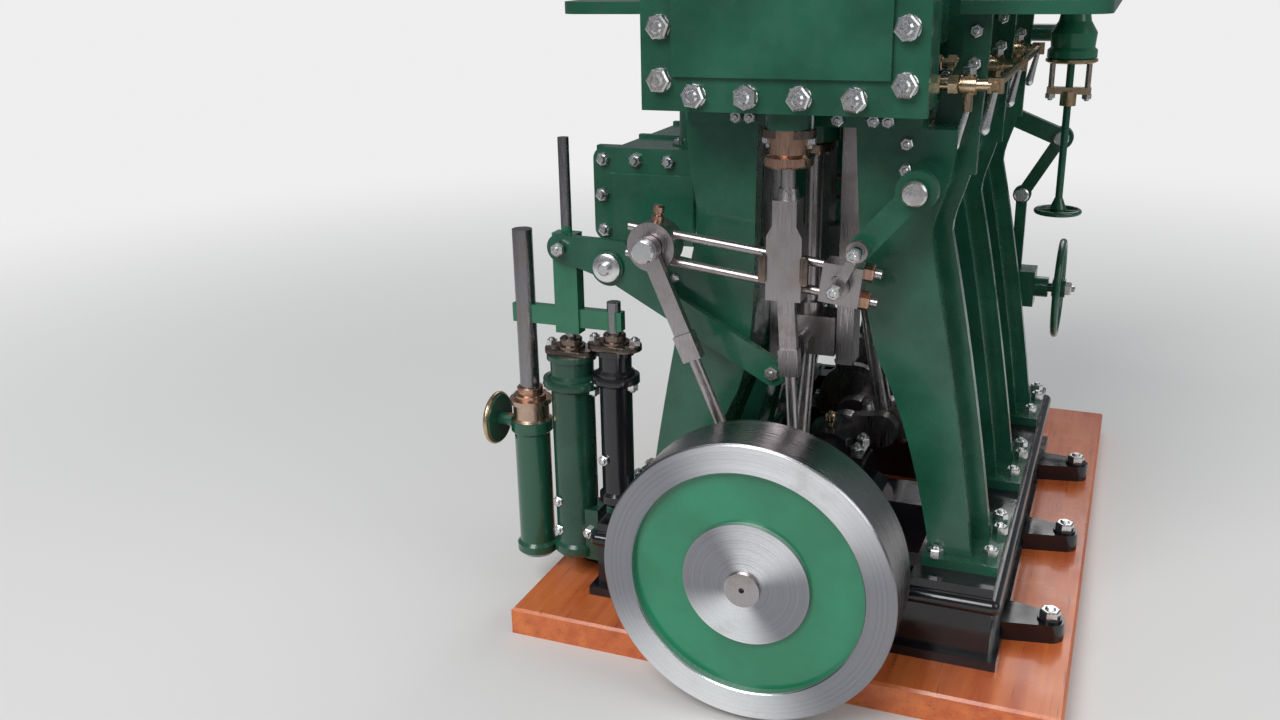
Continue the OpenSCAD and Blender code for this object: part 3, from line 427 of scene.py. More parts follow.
@dataclass(frozen=True)
class TwoFinish:
    """One piece in two finishes: bright metal, and enamel inside a few boxes in millimetres."""

    name: str
    boxes: tuple[tuple[Point, Point], ...]
    metal: Colour
    enamel: Colour = (0.018, 0.150, 0.078)
    stain: Colour = (0.30, 0.24, 0.18)
    shade: Colour = (0.012, 0.085, 0.042)
    rough: float = 0.26
    gloss: float = 0.24
    mark_cells: float = 2200.0
    cloud_cells: float = 130.0
    cloud_share: float = 0.5
    spread: Pair = (0.06, 0.12)
    bump: float = 0.2
    coat: float = 0.5
    coat_rough: float = 0.09

    def make(self) -> bpy.types.Material:
        """Paints the inside of the boxes and leaves the rest bright.

        Returns:
            The material.
        """
        g = Graph(self.name)
        paint = None
        for box in self.boxes:
            part = g.inside(*(tuple(v * MM for v in corner) for corner in box))
            paint = part if paint is None else g.math("MAXIMUM", paint, part)
        marks = g.noise(g.place((1, 1, 0.1)), self.mark_cells, 3.0)
        cloud = g.fade(g.noise(g.place(), self.cloud_cells, 4.0, 0.62), 0.4, 0.8)
        metal = g.mix(cloud * self.cloud_share, self.metal, self.stain)
        green = g.mix(cloud * self.cloud_share, self.enamel, self.shade)
        less, more = self.spread
        drawn = g.fade(marks, 0.3, 0.7, self.rough - less, self.rough + more)
        rough = paint * self.gloss + (1.0 - paint) * drawn
        return g.surface(
            Base_Color=g.mix(paint, metal, green),
            Metallic=1.0 - paint,
            Roughness=rough,
            Normal=g.bump(marks, self.bump, SCRATCH),
            Coat_Weight=paint * self.coat,
            Coat_Roughness=self.coat_rough,
        )


@dataclass(frozen=True)
class FlywheelFinish:
    """A turned bright rim and hub, with an enamelled recess between them.

    Lengths are in metres. The sheen is the pair of bright wedges that a turned face shows, painted
    into the colour as painted highlight and shade.
    """

    name: str
    shaft_z: float
    inner: float
    outer: float
    tread: float
    edge: float = 0.12 * MM
    enamel: Colour = (0.016, 0.230, 0.112)
    shade: Colour = (0.011, 0.180, 0.085)
    # bright and dull are the two ends of the painted sheen: painted highlight and painted shade.
    bright: Colour = (0.96, 0.97, 1.0)
    dull: Colour = (0.25, 0.25, 0.28)
    oily: Colour = (0.36, 0.33, 0.29)
    # Colour of the tread's painted dark reflection.
    tread_dark_reflection: Colour = (0.26, 0.23, 0.23)
    gloss: float = 0.24
    painted_sheen_turn: float = 20.0
    painted_sheen_range: Pair = (-0.55, 1.05)
    turning_cells: float = 9000.0
    lathe_cells: float = 1500.0
    peel_cells: float = 800.0
    film_cells: float = 95.0
    cloud_cells: float = 60.0
    lathe_share: float = 0.10
    film_share: float = 0.25
    tread_dark_reflection_share: float = 0.65
    film_dulling: float = 0.08
    turned_rough: Pair = (0.16, 0.30)
    peel: float = 0.06
    bump: float = 0.5
    depth: float = 0.07 * MM
    coat: float = 0.6
    coat_rough: float = 0.08

    def make(self) -> bpy.types.Material:
        """Turns rim and hub bright, with their painted sheen, and paints the recess between them.

        Returns:
            The material.
        """
        g = Graph(self.name)
        centred = g.place((1, 1, 1), (0, 0, self.shaft_z))
        across = g.axis(centred, 0)
        up = g.axis(centred, 2)
        radius = g.math("SQRT", across * across + up * up)
        paint = g.fade(radius, self.inner - self.edge, self.inner + self.edge)
        paint = paint * (1.0 - g.fade(radius, self.outer - self.edge, self.outer + self.edge))
        cells = self.turning_cells
        grooves = g.vector(radius * cells, g.axis(centred, 1) * cells)
        turning = g.noise(grooves, 1.0, 1.0, 0.5)
        cloud = g.fade(g.noise(g.place(), self.cloud_cells, 4.0), 0.35, 0.7)
        green = g.mix(cloud, self.shade, self.enamel)
        film = g.fade(g.noise(g.place(), self.film_cells, 4.0, 0.6), 0.5, 0.8)
        # Painted highlight and shade: the sheen is painted into the colour by the angle about the
        # shaft, mixed with a little real lathe tone.
        turn = math.radians(2 * self.painted_sheen_turn)
        double = (up * up - across * across) * math.cos(turn) + across * up * (2 * math.sin(turn))
        sheen = g.fade(g.math("DIVIDE", double, radius * radius), *self.painted_sheen_range)
        lathe = g.fade(g.noise(g.vector(radius * self.lathe_cells), 1.0, 2.0), 0.2, 0.8)
        painted_sheen_and_lathe = sheen * (1.0 - self.lathe_share) + lathe * self.lathe_share
        metal = g.mix(painted_sheen_and_lathe, self.dull, self.bright)
        metal = g.mix(film * self.film_share, metal, self.oily)
        # The tread beyond this radius is painted darker: a painted reflection of dark surroundings.
        metal = g.mix((radius > self.tread) * self.tread_dark_reflection_share, metal, self.tread_dark_reflection)
        peel = g.noise(g.place(), self.peel_cells, 2.0)
        rough_metal = g.fade(turning, 0.3, 0.7, *self.turned_rough) + film * self.film_dulling
        rough = paint * self.gloss + (1.0 - paint) * rough_metal
        height = paint * peel * self.peel + (1.0 - paint) * turning
        return g.surface(
            Base_Color=g.mix(paint, metal, green),
            Metallic=1.0 - paint,
            Roughness=rough,
            Normal=g.bump(height, self.bump, self.depth),
            Coat_Weight=paint * self.coat,
            Coat_Roughness=self.coat_rough,
        )


@dataclass(frozen=True)
class VarnishedBoard:
    """A stained hardwood board under gloss varnish, with its grain along Y."""

    name: str
    light: Colour = (0.70, 0.190, 0.050)
    dark: Colour = (0.48, 0.092, 0.024)
    pore: Colour = (0.075, 0.016, 0.007)
    drift_cells: float = 14.0
    sway: Pair = (0.010, 0.006)
    grain_cells: float = 210.0
    figure_cells: float = 60.0
    pore_cells: float = 1500.0
    pore_share: float = 0.55
    wear_cells: float = 70.0
    gloss: Pair = (0.24, 0.42)
    bump: float = 0.20
    depth: float = 0.1 * MM
    coat: float = 0.30
    coat_rough: float = 0.10

    def make(self) -> bpy.types.Material:
        """Draws the grain and its pores along the board and varnishes it.

        Returns:
            The material.
        """
        g = Graph(self.name)
        drift = g.noise(g.place((1, 0.25, 1)), self.drift_cells, 3.0)
        sway = g.vector(drift * self.sway[0], 0.0, drift * self.sway[1])
        where = g.math("ADD", g.place((1, 0.05, 1)), sway, "VectorMath")
        grain = g.noise(where, self.grain_cells, 5.0, 0.6)
        figure = g.noise(g.place((1, 0.12, 1)), self.figure_cells, 3.0)
        tone = g.mix(g.fade(grain * 0.65 + figure * 0.35, 0.32, 0.68), self.dark, self.light)
        pores = g.fade(g.noise(g.place((1, 0.035, 1)), self.pore_cells, 2.0), 0.60, 0.74)
        tone = g.mix(pores * self.pore_share, tone, self.pore)
        wear = g.noise(g.place(), self.wear_cells, 4.0)
        return g.surface(
            Base_Color=tone,
            Roughness=g.fade(wear, 0.35, 0.75, *self.gloss),
            Normal=g.bump(grain - pores * 0.6, self.bump, self.depth),
            Coat_Weight=self.coat,
            Coat_Roughness=self.coat_rough,
        )


class Finishes:
    """Every finish on the engine, made once."""

    def __init__(self) -> None:
        """Makes the materials."""
        self.green = Enamel(
            "green_enamel",
            colour=(0.020, 0.116, 0.070),
            shade=(0.010, 0.070, 0.040),
            film=(0.016, 0.040, 0.026),
        ).make()
        self.black = Enamel(
            "black_enamel",
            colour=(0.014, 0.014, 0.017),
            shade=(0.007, 0.007, 0.009),
            film=(0.035, 0.024, 0.018),
            gloss=0.07,
        ).make()
        # A darker copy of the green enamel: painted shade on the air pump and its collar.
        self.pump = Enamel(
            "pump_enamel_painted_shade",
            colour=(0.014, 0.080, 0.050),
            shade=(0.008, 0.050, 0.030),
            film=(0.016, 0.034, 0.024),
        ).make()
        # Grey steel with a faint warm tint; the tint is a painted reflection of the wooden board.
        self.rod = Steel(
            "rod_steel", colour=(0.46, 0.425, 0.435), along=(1.0, 1.0, 0.05), rough=0.28
        ).make()
        self.nut = Steel(
            "nut_steel", colour=(0.80, 0.80, 0.81), along=(1.0, 1.0, 1.0), rough=0.24
        ).make()
        self.brass = Brass("polished_brass", colour=(0.66, 0.50, 0.33)).make()
        self.copper = Brass(
            "red_bronze", colour=(0.58, 0.36, 0.27), tarnish=(0.24, 0.13, 0.09)
        ).make()
        self.bronze = Brass(
            "dark_bronze", colour=(0.24, 0.185, 0.155), tarnish=(0.10, 0.08, 0.07)
        ).make()
        self.wheel = FlywheelFinish(
            "flywheel_finish",
            shaft_z=(BOARD_T + SHAFT_Z) * MM,
            inner=18.0 * MM,
            outer=33.05 * MM,
            tread=41.2 * MM,
        ).make()
        self.board = VarnishedBoard("varnished_board").make()
        above_bonnet = ((40.0, 20.0, BOARD_T + 157.9), (80.0, 80.0, 300.0))
        self.valve = TwoFinish(
            "stop_valve_finish", boxes=(above_bonnet,), metal=(0.62, 0.52, 0.46)
        ).make()
        below_gland = ((-110.0, -110.0, 0.0), (-70.0, -70.0, BOARD_T + 53.7))
        side_wheel = ((-110.0, -110.0, 0.0), (-98.0, -70.0, 100.0))
        # The feed pump's enamel is a darker green than the rest of the paint: painted shade.
        self.feed = TwoFinish(
            "feed_pump_finish",
            boxes=(below_gland, side_wheel),
            metal=(0.62, 0.44, 0.34),
            enamel=(0.012, 0.084, 0.048),
        ).make()
        bar = ((-94.0, -92.0, BOARD_T + 86.9), (-55.0, -88.0, BOARD_T + 93.1))
        joint = ((-77.6, -93.0, BOARD_T + 84.9), (-69.4, -87.5, BOARD_T + 119.1))
        self.pump_bar = TwoFinish(
            "pump_rod_finish", boxes=(bar, joint), metal=(0.30, 0.29, 0.31)
        ).make()


def deselect() -> None:
    """Leaves edit mode and clears the selection."""
    if bpy.context.object and bpy.context.object.mode != "OBJECT":
        bpy.ops.object.mode_set(mode="OBJECT")
    bpy.ops.object.select_all(action="DESELECT")


def settle(piece: bpy.types.Object) -> None:
    """Moves a piece's place into its mesh, leaving the object at the origin."""
    piece.data.transform(piece.matrix_world)
    piece.matrix_world = Matrix.Identity(4)


def join(pieces: Sequence[bpy.types.Object], name: str) -> bpy.types.Object:
    """Joins pieces into one object.

    Args:
        pieces: The objects to join.
        name: The name of the result.

    Returns:
        The joined object, at the origin.
    """
    deselect()
    for piece in pieces:
        piece.select_set(True)
    bpy.context.view_layer.objects.active = pieces[0]
    if len(pieces) > 1:
        bpy.ops.object.join()
    made = bpy.context.view_layer.objects.active
    made.name = name
    made.data.name = name
    settle(made)
    deselect()
    return made


def dress(piece: bpy.types.Object, finish: bpy.types.Material) -> None:
    """Gives a piece one finish."""
    piece.data.materials.clear()
    piece.data.materials.append(finish)


class Shape(Protocol):
    """Anything that can be modelled once and copied to its seats."""

    def model(self) -> bpy.types.Object:
        """Models the shape at the origin, pointing up."""


def smoothed(piece: bpy.types.Object, angle: float = 35.0) -> bpy.types.Object:
    """Shades a piece smooth up to an angle and leaves it at the origin.

    Args:
        piece: The piece.
        angle: The angle in degrees.

    Returns:
        The same piece.
    """
    deselect()
    piece.select_set(True)
    bpy.context.view_layer.objects.active = piece
    bpy.ops.object.shade_smooth_by_angle(angle=math.radians(angle))
    settle(piece)
    deselect()
    return piece


def closed(piece: bpy.types.Object) -> bpy.types.Object:
    """Turns the faces of a piece in edit mode outward and finishes it.

    Args:
        piece: The piece, with its mesh in edit mode.

    Returns:
        The piece, shaded smooth.
    """
    bpy.ops.mesh.select_all(action="SELECT")
    bpy.ops.mesh.normals_make_consistent(inside=False)
    bpy.ops.object.mode_set(mode="OBJECT")
    return smoothed(piece)


def chamfer_top(piece: bpy.types.Object, width: float) -> None:
    """Bevels the edges of a piece's top face.

    Args:
        piece: The piece.
        width: The chamfer's width in metres.
    """
    bpy.context.view_layer.objects.active = piece
    bpy.ops.object.mode_set(mode="EDIT")
    bpy.ops.mesh.select_mode(type="FACE")
    bpy.ops.mesh.select_all(action="DESELECT")
    mesh = bmesh.from_edit_mesh(piece.data)
    top = max(mesh.faces, key=lambda face: face.calc_center_median().z)
    top.select_set(True)
    bmesh.update_edit_mesh(piece.data)
    bpy.ops.mesh.bevel(offset=width, segments=1, affect="EDGES")
    bpy.ops.object.mode_set(mode="OBJECT")


def prism(
    sides: int, radius: float, depth: float, middle: float, chamfer: float
) -> bpy.types.Object:
    """Makes an upright prism with its top edge chamfered, in metres.

    Args:
        sides: Number of sides.
        radius: Radius over the corners.
        depth: Height.
        middle: Height of the prism's middle.
        chamfer: Width of the chamfer.

    Returns:
        The prism.
    """
    bpy.ops.mesh.primitive_cylinder_add(
        vertices=sides, radius=radius, depth=depth, location=(0, 0, middle)
    )
    piece = bpy.context.object
    chamfer_top(piece, chamfer)
    return piece


@dataclass(frozen=True)
class Fastener:
    """A hexagon nut on its stud, pointing up from z = 0, with or without a washer.

    The width across flats, the nut's height, the stud's radius, the length of stud that stands
    proud and the washer's diameter are in millimetres. The chamfers are shares of the nut's and
    the stud's radius and of the washer's thickness.
    """

    flats: float
    height: float
    stud: float
    proud: float
    washer: float = 0.0
    head_chamfer: float = 0.14
    stud_chamfer: float = 0.3
    washer_chamfer: float = 0.3

    def model(self) -> bpy.types.Object:
        """Models the nut, its stud and its washer.

        Returns:
            The fastener, on z = 0.
        """
        deselect()
        radius = self.flats / 2 * MM / math.cos(math.pi / 6)
        base = WASHER_T if self.washer else 0.0
        depth = self.height * MM + SUNK
        chamfer = radius * self.head_chamfer
        parts = [prism(6, radius, depth, base + depth / 2 - SUNK, chamfer)]
        if self.stud:
            length = (self.proud + self.height) * MM
            chamfer = self.stud * MM * self.stud_chamfer
            parts.append(prism(12, self.stud * MM, length, base + length / 2, chamfer))
        if self.washer:
            radius = self.washer / 2 * MM
            chamfer = base * self.washer_chamfer
            parts.append(prism(20, radius, base + SUNK, (base - SUNK) / 2, chamfer))
        made = join(parts, "fastener")
        for face in made.data.polygons:
            face.use_smooth = False
        return made


@dataclass(frozen=True)
class Seat:
    """Where a small piece goes.

    Its place is in millimetres, with z above the baseboard's top. It points along an axis, turned
    about that axis and leaning about Y by angles in degrees.
    """

    x: float
    y: float
    z: float
    axis: Axis = Axis.UP
    turn: float = 0.0
    lean: float = 0.0

    def matrix(self) -> Matrix:
        """Works out the piece's placement.

        Returns:
            The placement in metres.
        """
        place = Vector((self.x, self.y, self.z + BOARD_T)) * MM
        spin = Matrix.Rotation(math.radians(self.turn), 4, "Z")
        lean = Matrix.Rotation(math.radians(self.lean), 4, "Y")
        return Matrix.Translation(place) @ lean @ self.axis.turn() @ spin


def fasten(
    shape: Shape, seats: Iterable[Seat], name: str, finish: bpy.types.Material
) -> bpy.types.Object:
    """Copies a shape to each of its seats and joins the copies.

    Args:
        shape: What to model once.
        seats: Where the copies go.
        name: The name of the joined piece.
        finish: Its finish, which also decides its material slot.

    Returns:
        The joined piece.
    """
    first = shape.model()
    copies = []
    for seat in seats:
        copy = bpy.data.objects.new(name, first.data.copy())
        copy.data.transform(seat.matrix())
        bpy.context.scene.collection.objects.link(copy)
        copies.append(copy)
    bpy.data.objects.remove(first)
    made = join(copies, name)
    dress(made, finish)
    return made


@dataclass(frozen=True)
class Turned:
    """A turned piece: rings of radius and height in millimetres, from its foot to its top."""

    rings: tuple[tuple[float, float], ...]
    vertices: int = 20

    def model(self) -> bpy.types.Object:
        """Extrudes the piece ring by ring from its foot.

        Returns:
            The modelled object.
        """
        deselect()
        radius, height = self.rings[0]
        bpy.ops.mesh.primitive_circle_add(
            vertices=self.vertices,
            radius=radius * MM,
            fill_type="NGON",
            location=(0, 0, height * MM),
        )
        piece = bpy.context.object
        bpy.ops.object.mode_set(mode="EDIT")
        bpy.ops.mesh.select_all(action="SELECT")
        for next_radius, next_height in self.rings[1:]:
            rise = (0, 0, (next_height - height) * MM)
            bpy.ops.mesh.extrude_region_move(TRANSFORM_OT_translate={"value": rise})
            ratio = next_radius / radius
            bpy.ops.transform.resize(value=(ratio, ratio, 1.0))
            radius, height = next_radius, next_height
        return closed(piece)


@dataclass(frozen=True)
class Plate:
    """A flat plate with round ends: half length, half width and thickness in millimetres."""

    half_length: float
    half_width: float
    thickness: float
    edge: float = 0.35
    vertices: int = 28

    def model(self) -> bpy.types.Object:
        """Stretches a disc along X, thickens it and rounds its upper edge.

        Returns:
            The modelled object, on z = 0.
        """
        deselect()
        bpy.ops.mesh.primitive_circle_add(
            vertices=self.vertices, radius=self.half_width * MM, fill_type="NGON"
        )
        piece = bpy.context.object
        bpy.ops.object.mode_set(mode="EDIT")
        bpy.ops.mesh.select_mode(type="VERT")
        for side in (-1, 1):
            bpy.ops.mesh.select_all(action="DESELECT")
            mesh = bmesh.from_edit_mesh(piece.data)
            for vertex in mesh.verts:
                vertex.select = vertex.co.x * side > 1e-6
            mesh.select_flush(True)
            bmesh.update_edit_mesh(piece.data)
            shift = side * (self.half_length - self.half_width) * MM
            bpy.ops.transform.translate(value=(shift, 0, 0))
        bpy.ops.mesh.select_all(action="SELECT")
        rise = (0, 0, self.thickness * MM)
        bpy.ops.mesh.extrude_region_move(TRANSFORM_OT_translate={"value": rise})
        bpy.ops.mesh.bevel(offset=self.edge * MM, segments=2, affect="EDGES")
        return closed(piece)


@dataclass(frozen=True)
class Slab:
    """A flat rectangular pad: width, depth and thickness in millimetres.

    The chamfer of its upper edge is a share of its thickness.
    """

    width: float
    depth: float
    thickness: float
    chamfer: float = 0.35

    def model(self) -> bpy.types.Object:
        """Stretches a cube into the pad and bevels its top.

        Returns:
            The modelled object, on z = 0.
        """
        deselect()
        middle = (0, 0, self.thickness / 2 * MM)
        bpy.ops.mesh.primitive_cube_add(size=self.thickness * MM, location=middle)
        piece = bpy.context.object
        bpy.ops.object.mode_set(mode="EDIT")
        bpy.ops.mesh.select_all(action="SELECT")
        ratios = (self.width / self.thickness, self.depth / self.thickness, 1.0)
        bpy.ops.transform.resize(value=ratios)
        bpy.ops.object.mode_set(mode="OBJECT")
        chamfer_top(piece, self.thickness * self.chamfer * MM)
        return smoothed(piece)


@dataclass(frozen=True)
class Ring:
    """A round ring about Z: radius and section radius in millimetres."""

    radius: float
    section: float
    vertices: int = 12
    steps: int = 40

    def model(self) -> bpy.types.Object:
        """Spins a small circle about Z.

        Returns:
            The modelled object.
        """
        deselect()
        bpy.ops.mesh.primitive_circle_add(
            vertices=self.vertices,
            radius=self.section * MM,
            location=(self.radius * MM, 0, 0),
            rotation=(math.pi / 2, 0, 0),
        )
        piece = bpy.context.object
        settle(piece)
        bpy.ops.object.mode_set(mode="EDIT")
        bpy.ops.mesh.select_all(action="SELECT")
        bpy.ops.mesh.spin(steps=self.steps, angle=math.tau, center=(0, 0, 0), axis=(0, 0, 1))
        bpy.ops.mesh.select_all(action="SELECT")
        bpy.ops.mesh.remove_doubles(threshold=0.01 * MM)
        return closed(piece)


def beside(start: Pair, lean: float, across: float, along: float) -> Pair:
    """Returns a point in X and Z, across and along a rod that leans by an angle in radians."""
    x = start[0] + across * math.cos(lean) + along * math.sin(lean)
    return (x, start[1] - across * math.sin(lean) + along * math.cos(lean))


def bolt_circle(
    x: float, y: float, radius: float, count: int
) -> Iterator[tuple[float, float, float]]:
    """Spaces the bolts of a circle evenly, from half a step round.

    Args:
        x: The circle's middle in X.
        y: The circle's middle in Y.
        radius: The circle's radius.
        count: Number of bolts.

    Yields:
        X, Y and the angle of each bolt.
    """
    for index in range(count):
        angle = math.tau * (index + 0.5) / count
        yield (x + radius * math.cos(angle), y + radius * math.sin(angle), angle)


def bolt_pairs(
    centre: Pair,
    y: float,
    lean: float,
    across: float,
    along: float,
    turn: float,
    twist: float = 0.0,
) -> list[Seat]:
    """Seats a head and a nut for the two bolts beside a leaning rod.

    Args:
        centre: The joint's middle in X and Z.
        y: The rod's plane.
        lean: The rod's lean in radians.
        across: Distance of the bolts from the rod's middle line.
        along: Distance of heads and nuts from the joint's face.
        turn: Turn of every hexagon in degrees.
        twist: More turn to the millimetre across.

    Returns:
        The four seats.
    """
    seats = []
    for side in (-across, across):
        for end, axis in ((-along, Axis.DOWN), (along, Axis.UP)):
            x, z = beside(centre, lean, side, end)
            seats.append(Seat(x, y, z, axis, turn + twist * side, math.degrees(lean)))
    return seats


@dataclass(frozen=True)
class Plan:
    """The engine's driving places in millimetres, with heights above the baseboard."""

    col_pitch: float = 61.4
    mid_y: float = -13.2
    spindle_off: float = 28.4
    mid_spindle_off: float = 27.2
    chest_face: float = 11.45
    col_d: float = 15.4
    bores: tuple[float, ...] = (24.5, 20.0, 15.0)
    link_left: Pair = (-39.0, 118.5)
    link_right: Pair = (16.0, 112.0)
    mid_start: float = 12.0
    arm_end: Pair = (20.9, 122.4)
    weigh: Pair = (34.5, 138.0)
    astern_pin: Pair = (-2.0, 112.5)
    sheave_off: float = 5.6
    sheave_throw: float = 4.0

    @property
    def planes(self) -> tuple[float, float, float]:
        """The three column and cylinder planes, from front to rear."""
        return (self.mid_y - self.col_pitch, self.mid_y, self.mid_y + self.col_pitch)

    @property
    def sides(self) -> list[tuple[float, int]]:
        """Each column plane with its left side, -1, and its right side, 1."""
        return [(plane, side) for plane in self.planes for side in (-1, 1)]

    @property
    def gears(self) -> tuple[tuple[float, int], ...]:
        """Works out the places of the valve gear.

        Returns:
            The three valve spindles, each with the way in which its gear faces.
        """
        front, middle, rear = self.planes
        return (
            (front - self.spindle_off, -1),
            (middle + self.mid_spindle_off, -1),
            (rear + self.spindle_off, 1),
        )

    @property
    def link_length(self) -> float:
        """The distance between a link's two ends."""
        return math.dist(self.link_left, self.link_right)

    @property
    def link_lean(self) -> float:
        """How far the links lean down to the right, in degrees."""
        rise = self.link_right[1] - self.link_left[1]
        return -math.degrees(math.atan2(rise, self.link_right[0] - self.link_left[0]))

    def link_start(self, index: int) -> float:
        """Returns how far in from the left end a gear's link starts."""
        return self.mid_start if index == 1 else 0.0

    def on_link(self, along: float, above: float = 0.0) -> Pair:
        """Returns a point in X and Z at a distance along a link and above its middle line."""
        return beside(self.link_left, math.radians(self.link_lean), along, above)


@dataclass
class Assembly:
    """Common ground of the sub-assemblies: the finishes, the plan and the placing of pieces.

    Lengths are in millimetres, angles in degrees. A nut's turn comes from its place, so that the
    nuts of a row differ.
    """

    finishes: Finishes
    plan: Plan = field(default_factory=Plan)

    def put(
        self,
        name: str,
        shape: Shape,
        seats: Iterable[Seat],
        finish: bpy.types.Material | None = None,
    ) -> None:
        """Copies a shape to its seats as one piece that stays with the engine.

        Args:
            name: The name of the joined piece.
            shape: What to model once.
            seats: Where the copies go.
            finish: Its finish, the nuts' steel if not given.
        """
        finish = finish or self.finishes.nut
        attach(fasten(shape, seats, name, finish), "engine")
        LOG.info("placed %s", name)


@dataclass
class Castings(Assembly):
    """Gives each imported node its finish."""

    nodes: dict[str, bpy.types.Object] = field(default_factory=dict)
    steel: tuple[str, ...] = (
        "piston_rods",
        "connecting_rods",
        "crosshead_guides",
        "crankshaft",
        "flywheel_shaft",
        "eccentrics",
        "eccentric_rods",
        "expansion_links",
        "valve_rods",
        "drag_links",
        "pump_link",
    )
    black: tuple[str, ...] = ("bedplate", "main_bearing_caps", "bilge_pump")

    def build(self) -> None:
        """Dresses every node, in green enamel where nothing else is said."""
        own = {
            "baseboard": self.finishes.board,
            "flywheel": self.finishes.wheel,
            "stuffing_glands": self.finishes.copper,
            "stop_valve_yoke": self.finishes.brass,
            "drain_pipes": self.finishes.brass,
            "stop_valve": self.finishes.valve,
            # The feed pump's darker enamel is painted shade.
            "feed_pump": self.finishes.feed,
            # The air pump's darker enamel is painted shade.
            "air_pump": self.finishes.pump,
            "pump_rods": self.finishes.pump_bar,
        }
        own.update(dict.fromkeys(self.steel, self.finishes.rod))
        own.update(dict.fromkeys(self.black, self.finishes.black))
        for name, node in self.nodes.items():
            dress(node, own.get(name, self.finishes.green))
        LOG.info("dressed %d castings and bars", len(self.nodes))


@dataclass
class ChestNuts(Assembly):
    """The nuts round the three valve chest covers.

    A cover has a name, a width, the way in which it faces and the nuts' places along its ends.
    """

    covers: tuple[tuple[str, float, int, tuple[float, ...]], ...] = (
        ("low_chest_nuts", 75.4, -1, (-22.6, -8.5, 5.7, 19.8)),
        ("mid_chest_nuts", 60.0, 1, (-14.0, 0.0, 14.0)),
        ("high_chest_nuts", 54.0, 1, (-11.0, 0.0, 11.0)),
    )
    nut: Fastener = Fastener(5.7, 2.3, 1.7, 0.6, washer=6.4)
    edge: float = 5.5
    low: float = 166.0
    pitch: float = 13.6
    rows: int = 5
    ends: Pair = (162.2, 223.8)

    def build(self) -> None:
        """Places the nuts on each cover."""
        for (name, width, way, across), (spindle, _) in zip(self.covers, self.plan.gears):
            face = spindle + way * self.plan.chest_face
            axis = Axis.facing(way)
            side = width / 2 - self.edge
            seats = [
                Seat(x, face, self.low + self.pitch * index, axis, 11.0 * index + x)
                for index in range(self.rows)
                for x in (-side, side)
            ]
            seats += [Seat(x, face, z, axis, 7.0 * x) for x in across for z in self.ends]
            self.put(name, self.nut, seats)


@dataclass
class CylinderNuts(Assembly):
    """The nuts of the cylinder covers and base plates."""

    nut: Fastener = Fastener(4.6, 2.4, 1.2, 0.9)
    counts: tuple[int, ...] = (12, 10, 8)
    inset: float = 1.4
    cover_top: float = 236.0
    base_x: float = 28.6
    base_y: tuple[float, ...] = (-12.5, 0.0, 12.5)
    base_top: float = 156.0

    def build(self) -> None:
        """Places a ring of nuts on each cover and a row on each side of each base plate."""
        seats = []
        for plane, bore, count in zip(self.plan.planes, self.plan.bores, self.counts):
            circle = bolt_circle(0.0, plane, bore - self.inset, count)
            seats += [
                Seat(x, y, self.cover_top, turn=23.0 * index)
                for index, (x, y, _) in enumerate(circle)
            ]
        self.put("cylinder_cover_nuts", self.nut, seats)
        seats = [
            Seat(side * self.base_x, plane + y, self.base_top, turn=9.0 * y)
            for plane, side in self.plan.sides
            for y in self.base_y
        ]
        self.put("cylinder_base_nuts", self.nut, seats)


@dataclass
class ColumnNuts(Assembly):
    """The bolts of the column feet and tops and of the platforms, and the nuts on the lugs."""

    foot: Fastener = Fastener(4.0, 2.6, 1.2, 0.7)
    foot_top: float = 28.0
    corner_x: float = 58.6
    corner_y: Pair = (-11.8, 14.0)
    middle: Pair = (59.6, 4.4)
    inner_x: Pair = (-37.0, 43.6)
    inner_y: Pair = (-16.8, 16.8)
    holding: Fastener = Fastener(5.4, 2.4, 1.6, 0.7)
    lug: Point = (76.5, -3.0, 6.8)
    head: Fastener = Fastener(3.2, 1.6, 0.9, 0.5)
    base_x: tuple[float, ...] = (-18.4, -14.4, 10.3, 20.0, 24.0)
    base_half: float = 17.0
    base_middle: float = 154.0
    top_x: float = 29.0
    top_z: Pair = (141.0, 148.0)
    horn: Pair = (43.4, -1.75)
    horn_z: Pair = (168.0, 176.5)
    platform: Pair = (44.0, 184.5)

    def build(self) -> None:
        """Places the bolts."""
        seats, heads = [], []
        for plane in self.plan.planes:
            for side in (-1, 1):
                for y in self.corner_y:
                    place = (side * self.corner_x, plane + y, self.foot_top)
                    seats.append(Seat(*place, turn=20.0 * y + plane))
                x, y = self.middle
                seats.append(Seat(side * x, plane + y, self.foot_top, turn=plane))
            for x in self.inner_x:
                for y in self.inner_y:
                    seats.append(Seat(x, plane + y, self.foot_top, turn=33.0 * y + plane))
            for x in self.base_x:
                place = (x, plane - self.base_half, self.base_middle)
                heads.append(Seat(*place, Axis.FRONT, 13.0 * x))
            for z in self.top_z:
                heads.append(Seat(self.top_x, plane - self.plan.col_d, z, Axis.FRONT, 7.0 * z))
        self.put("foot_bolts", self.foot, seats)
        x, y, z = self.lug
        seats = [Seat(side * x, plane + y, z, turn=plane) for plane, side in self.plan.sides]
        self.put("holding_down_nuts", self.holding, seats)
        self.put("column_top_nuts", self.head, heads)
        x, y = self.horn
        seats = [
            Seat(side * x, plane + y, z, Axis.FRONT, 19.0 * z)
            for plane, side in self.plan.sides
            for z in self.horn_z
        ]
        x, z = self.platform
        seats += [Seat(side * x, plane, z, turn=5.0 * x) for plane, side in self.plan.sides]
        self.put("platform_bolts", self.head, seats)


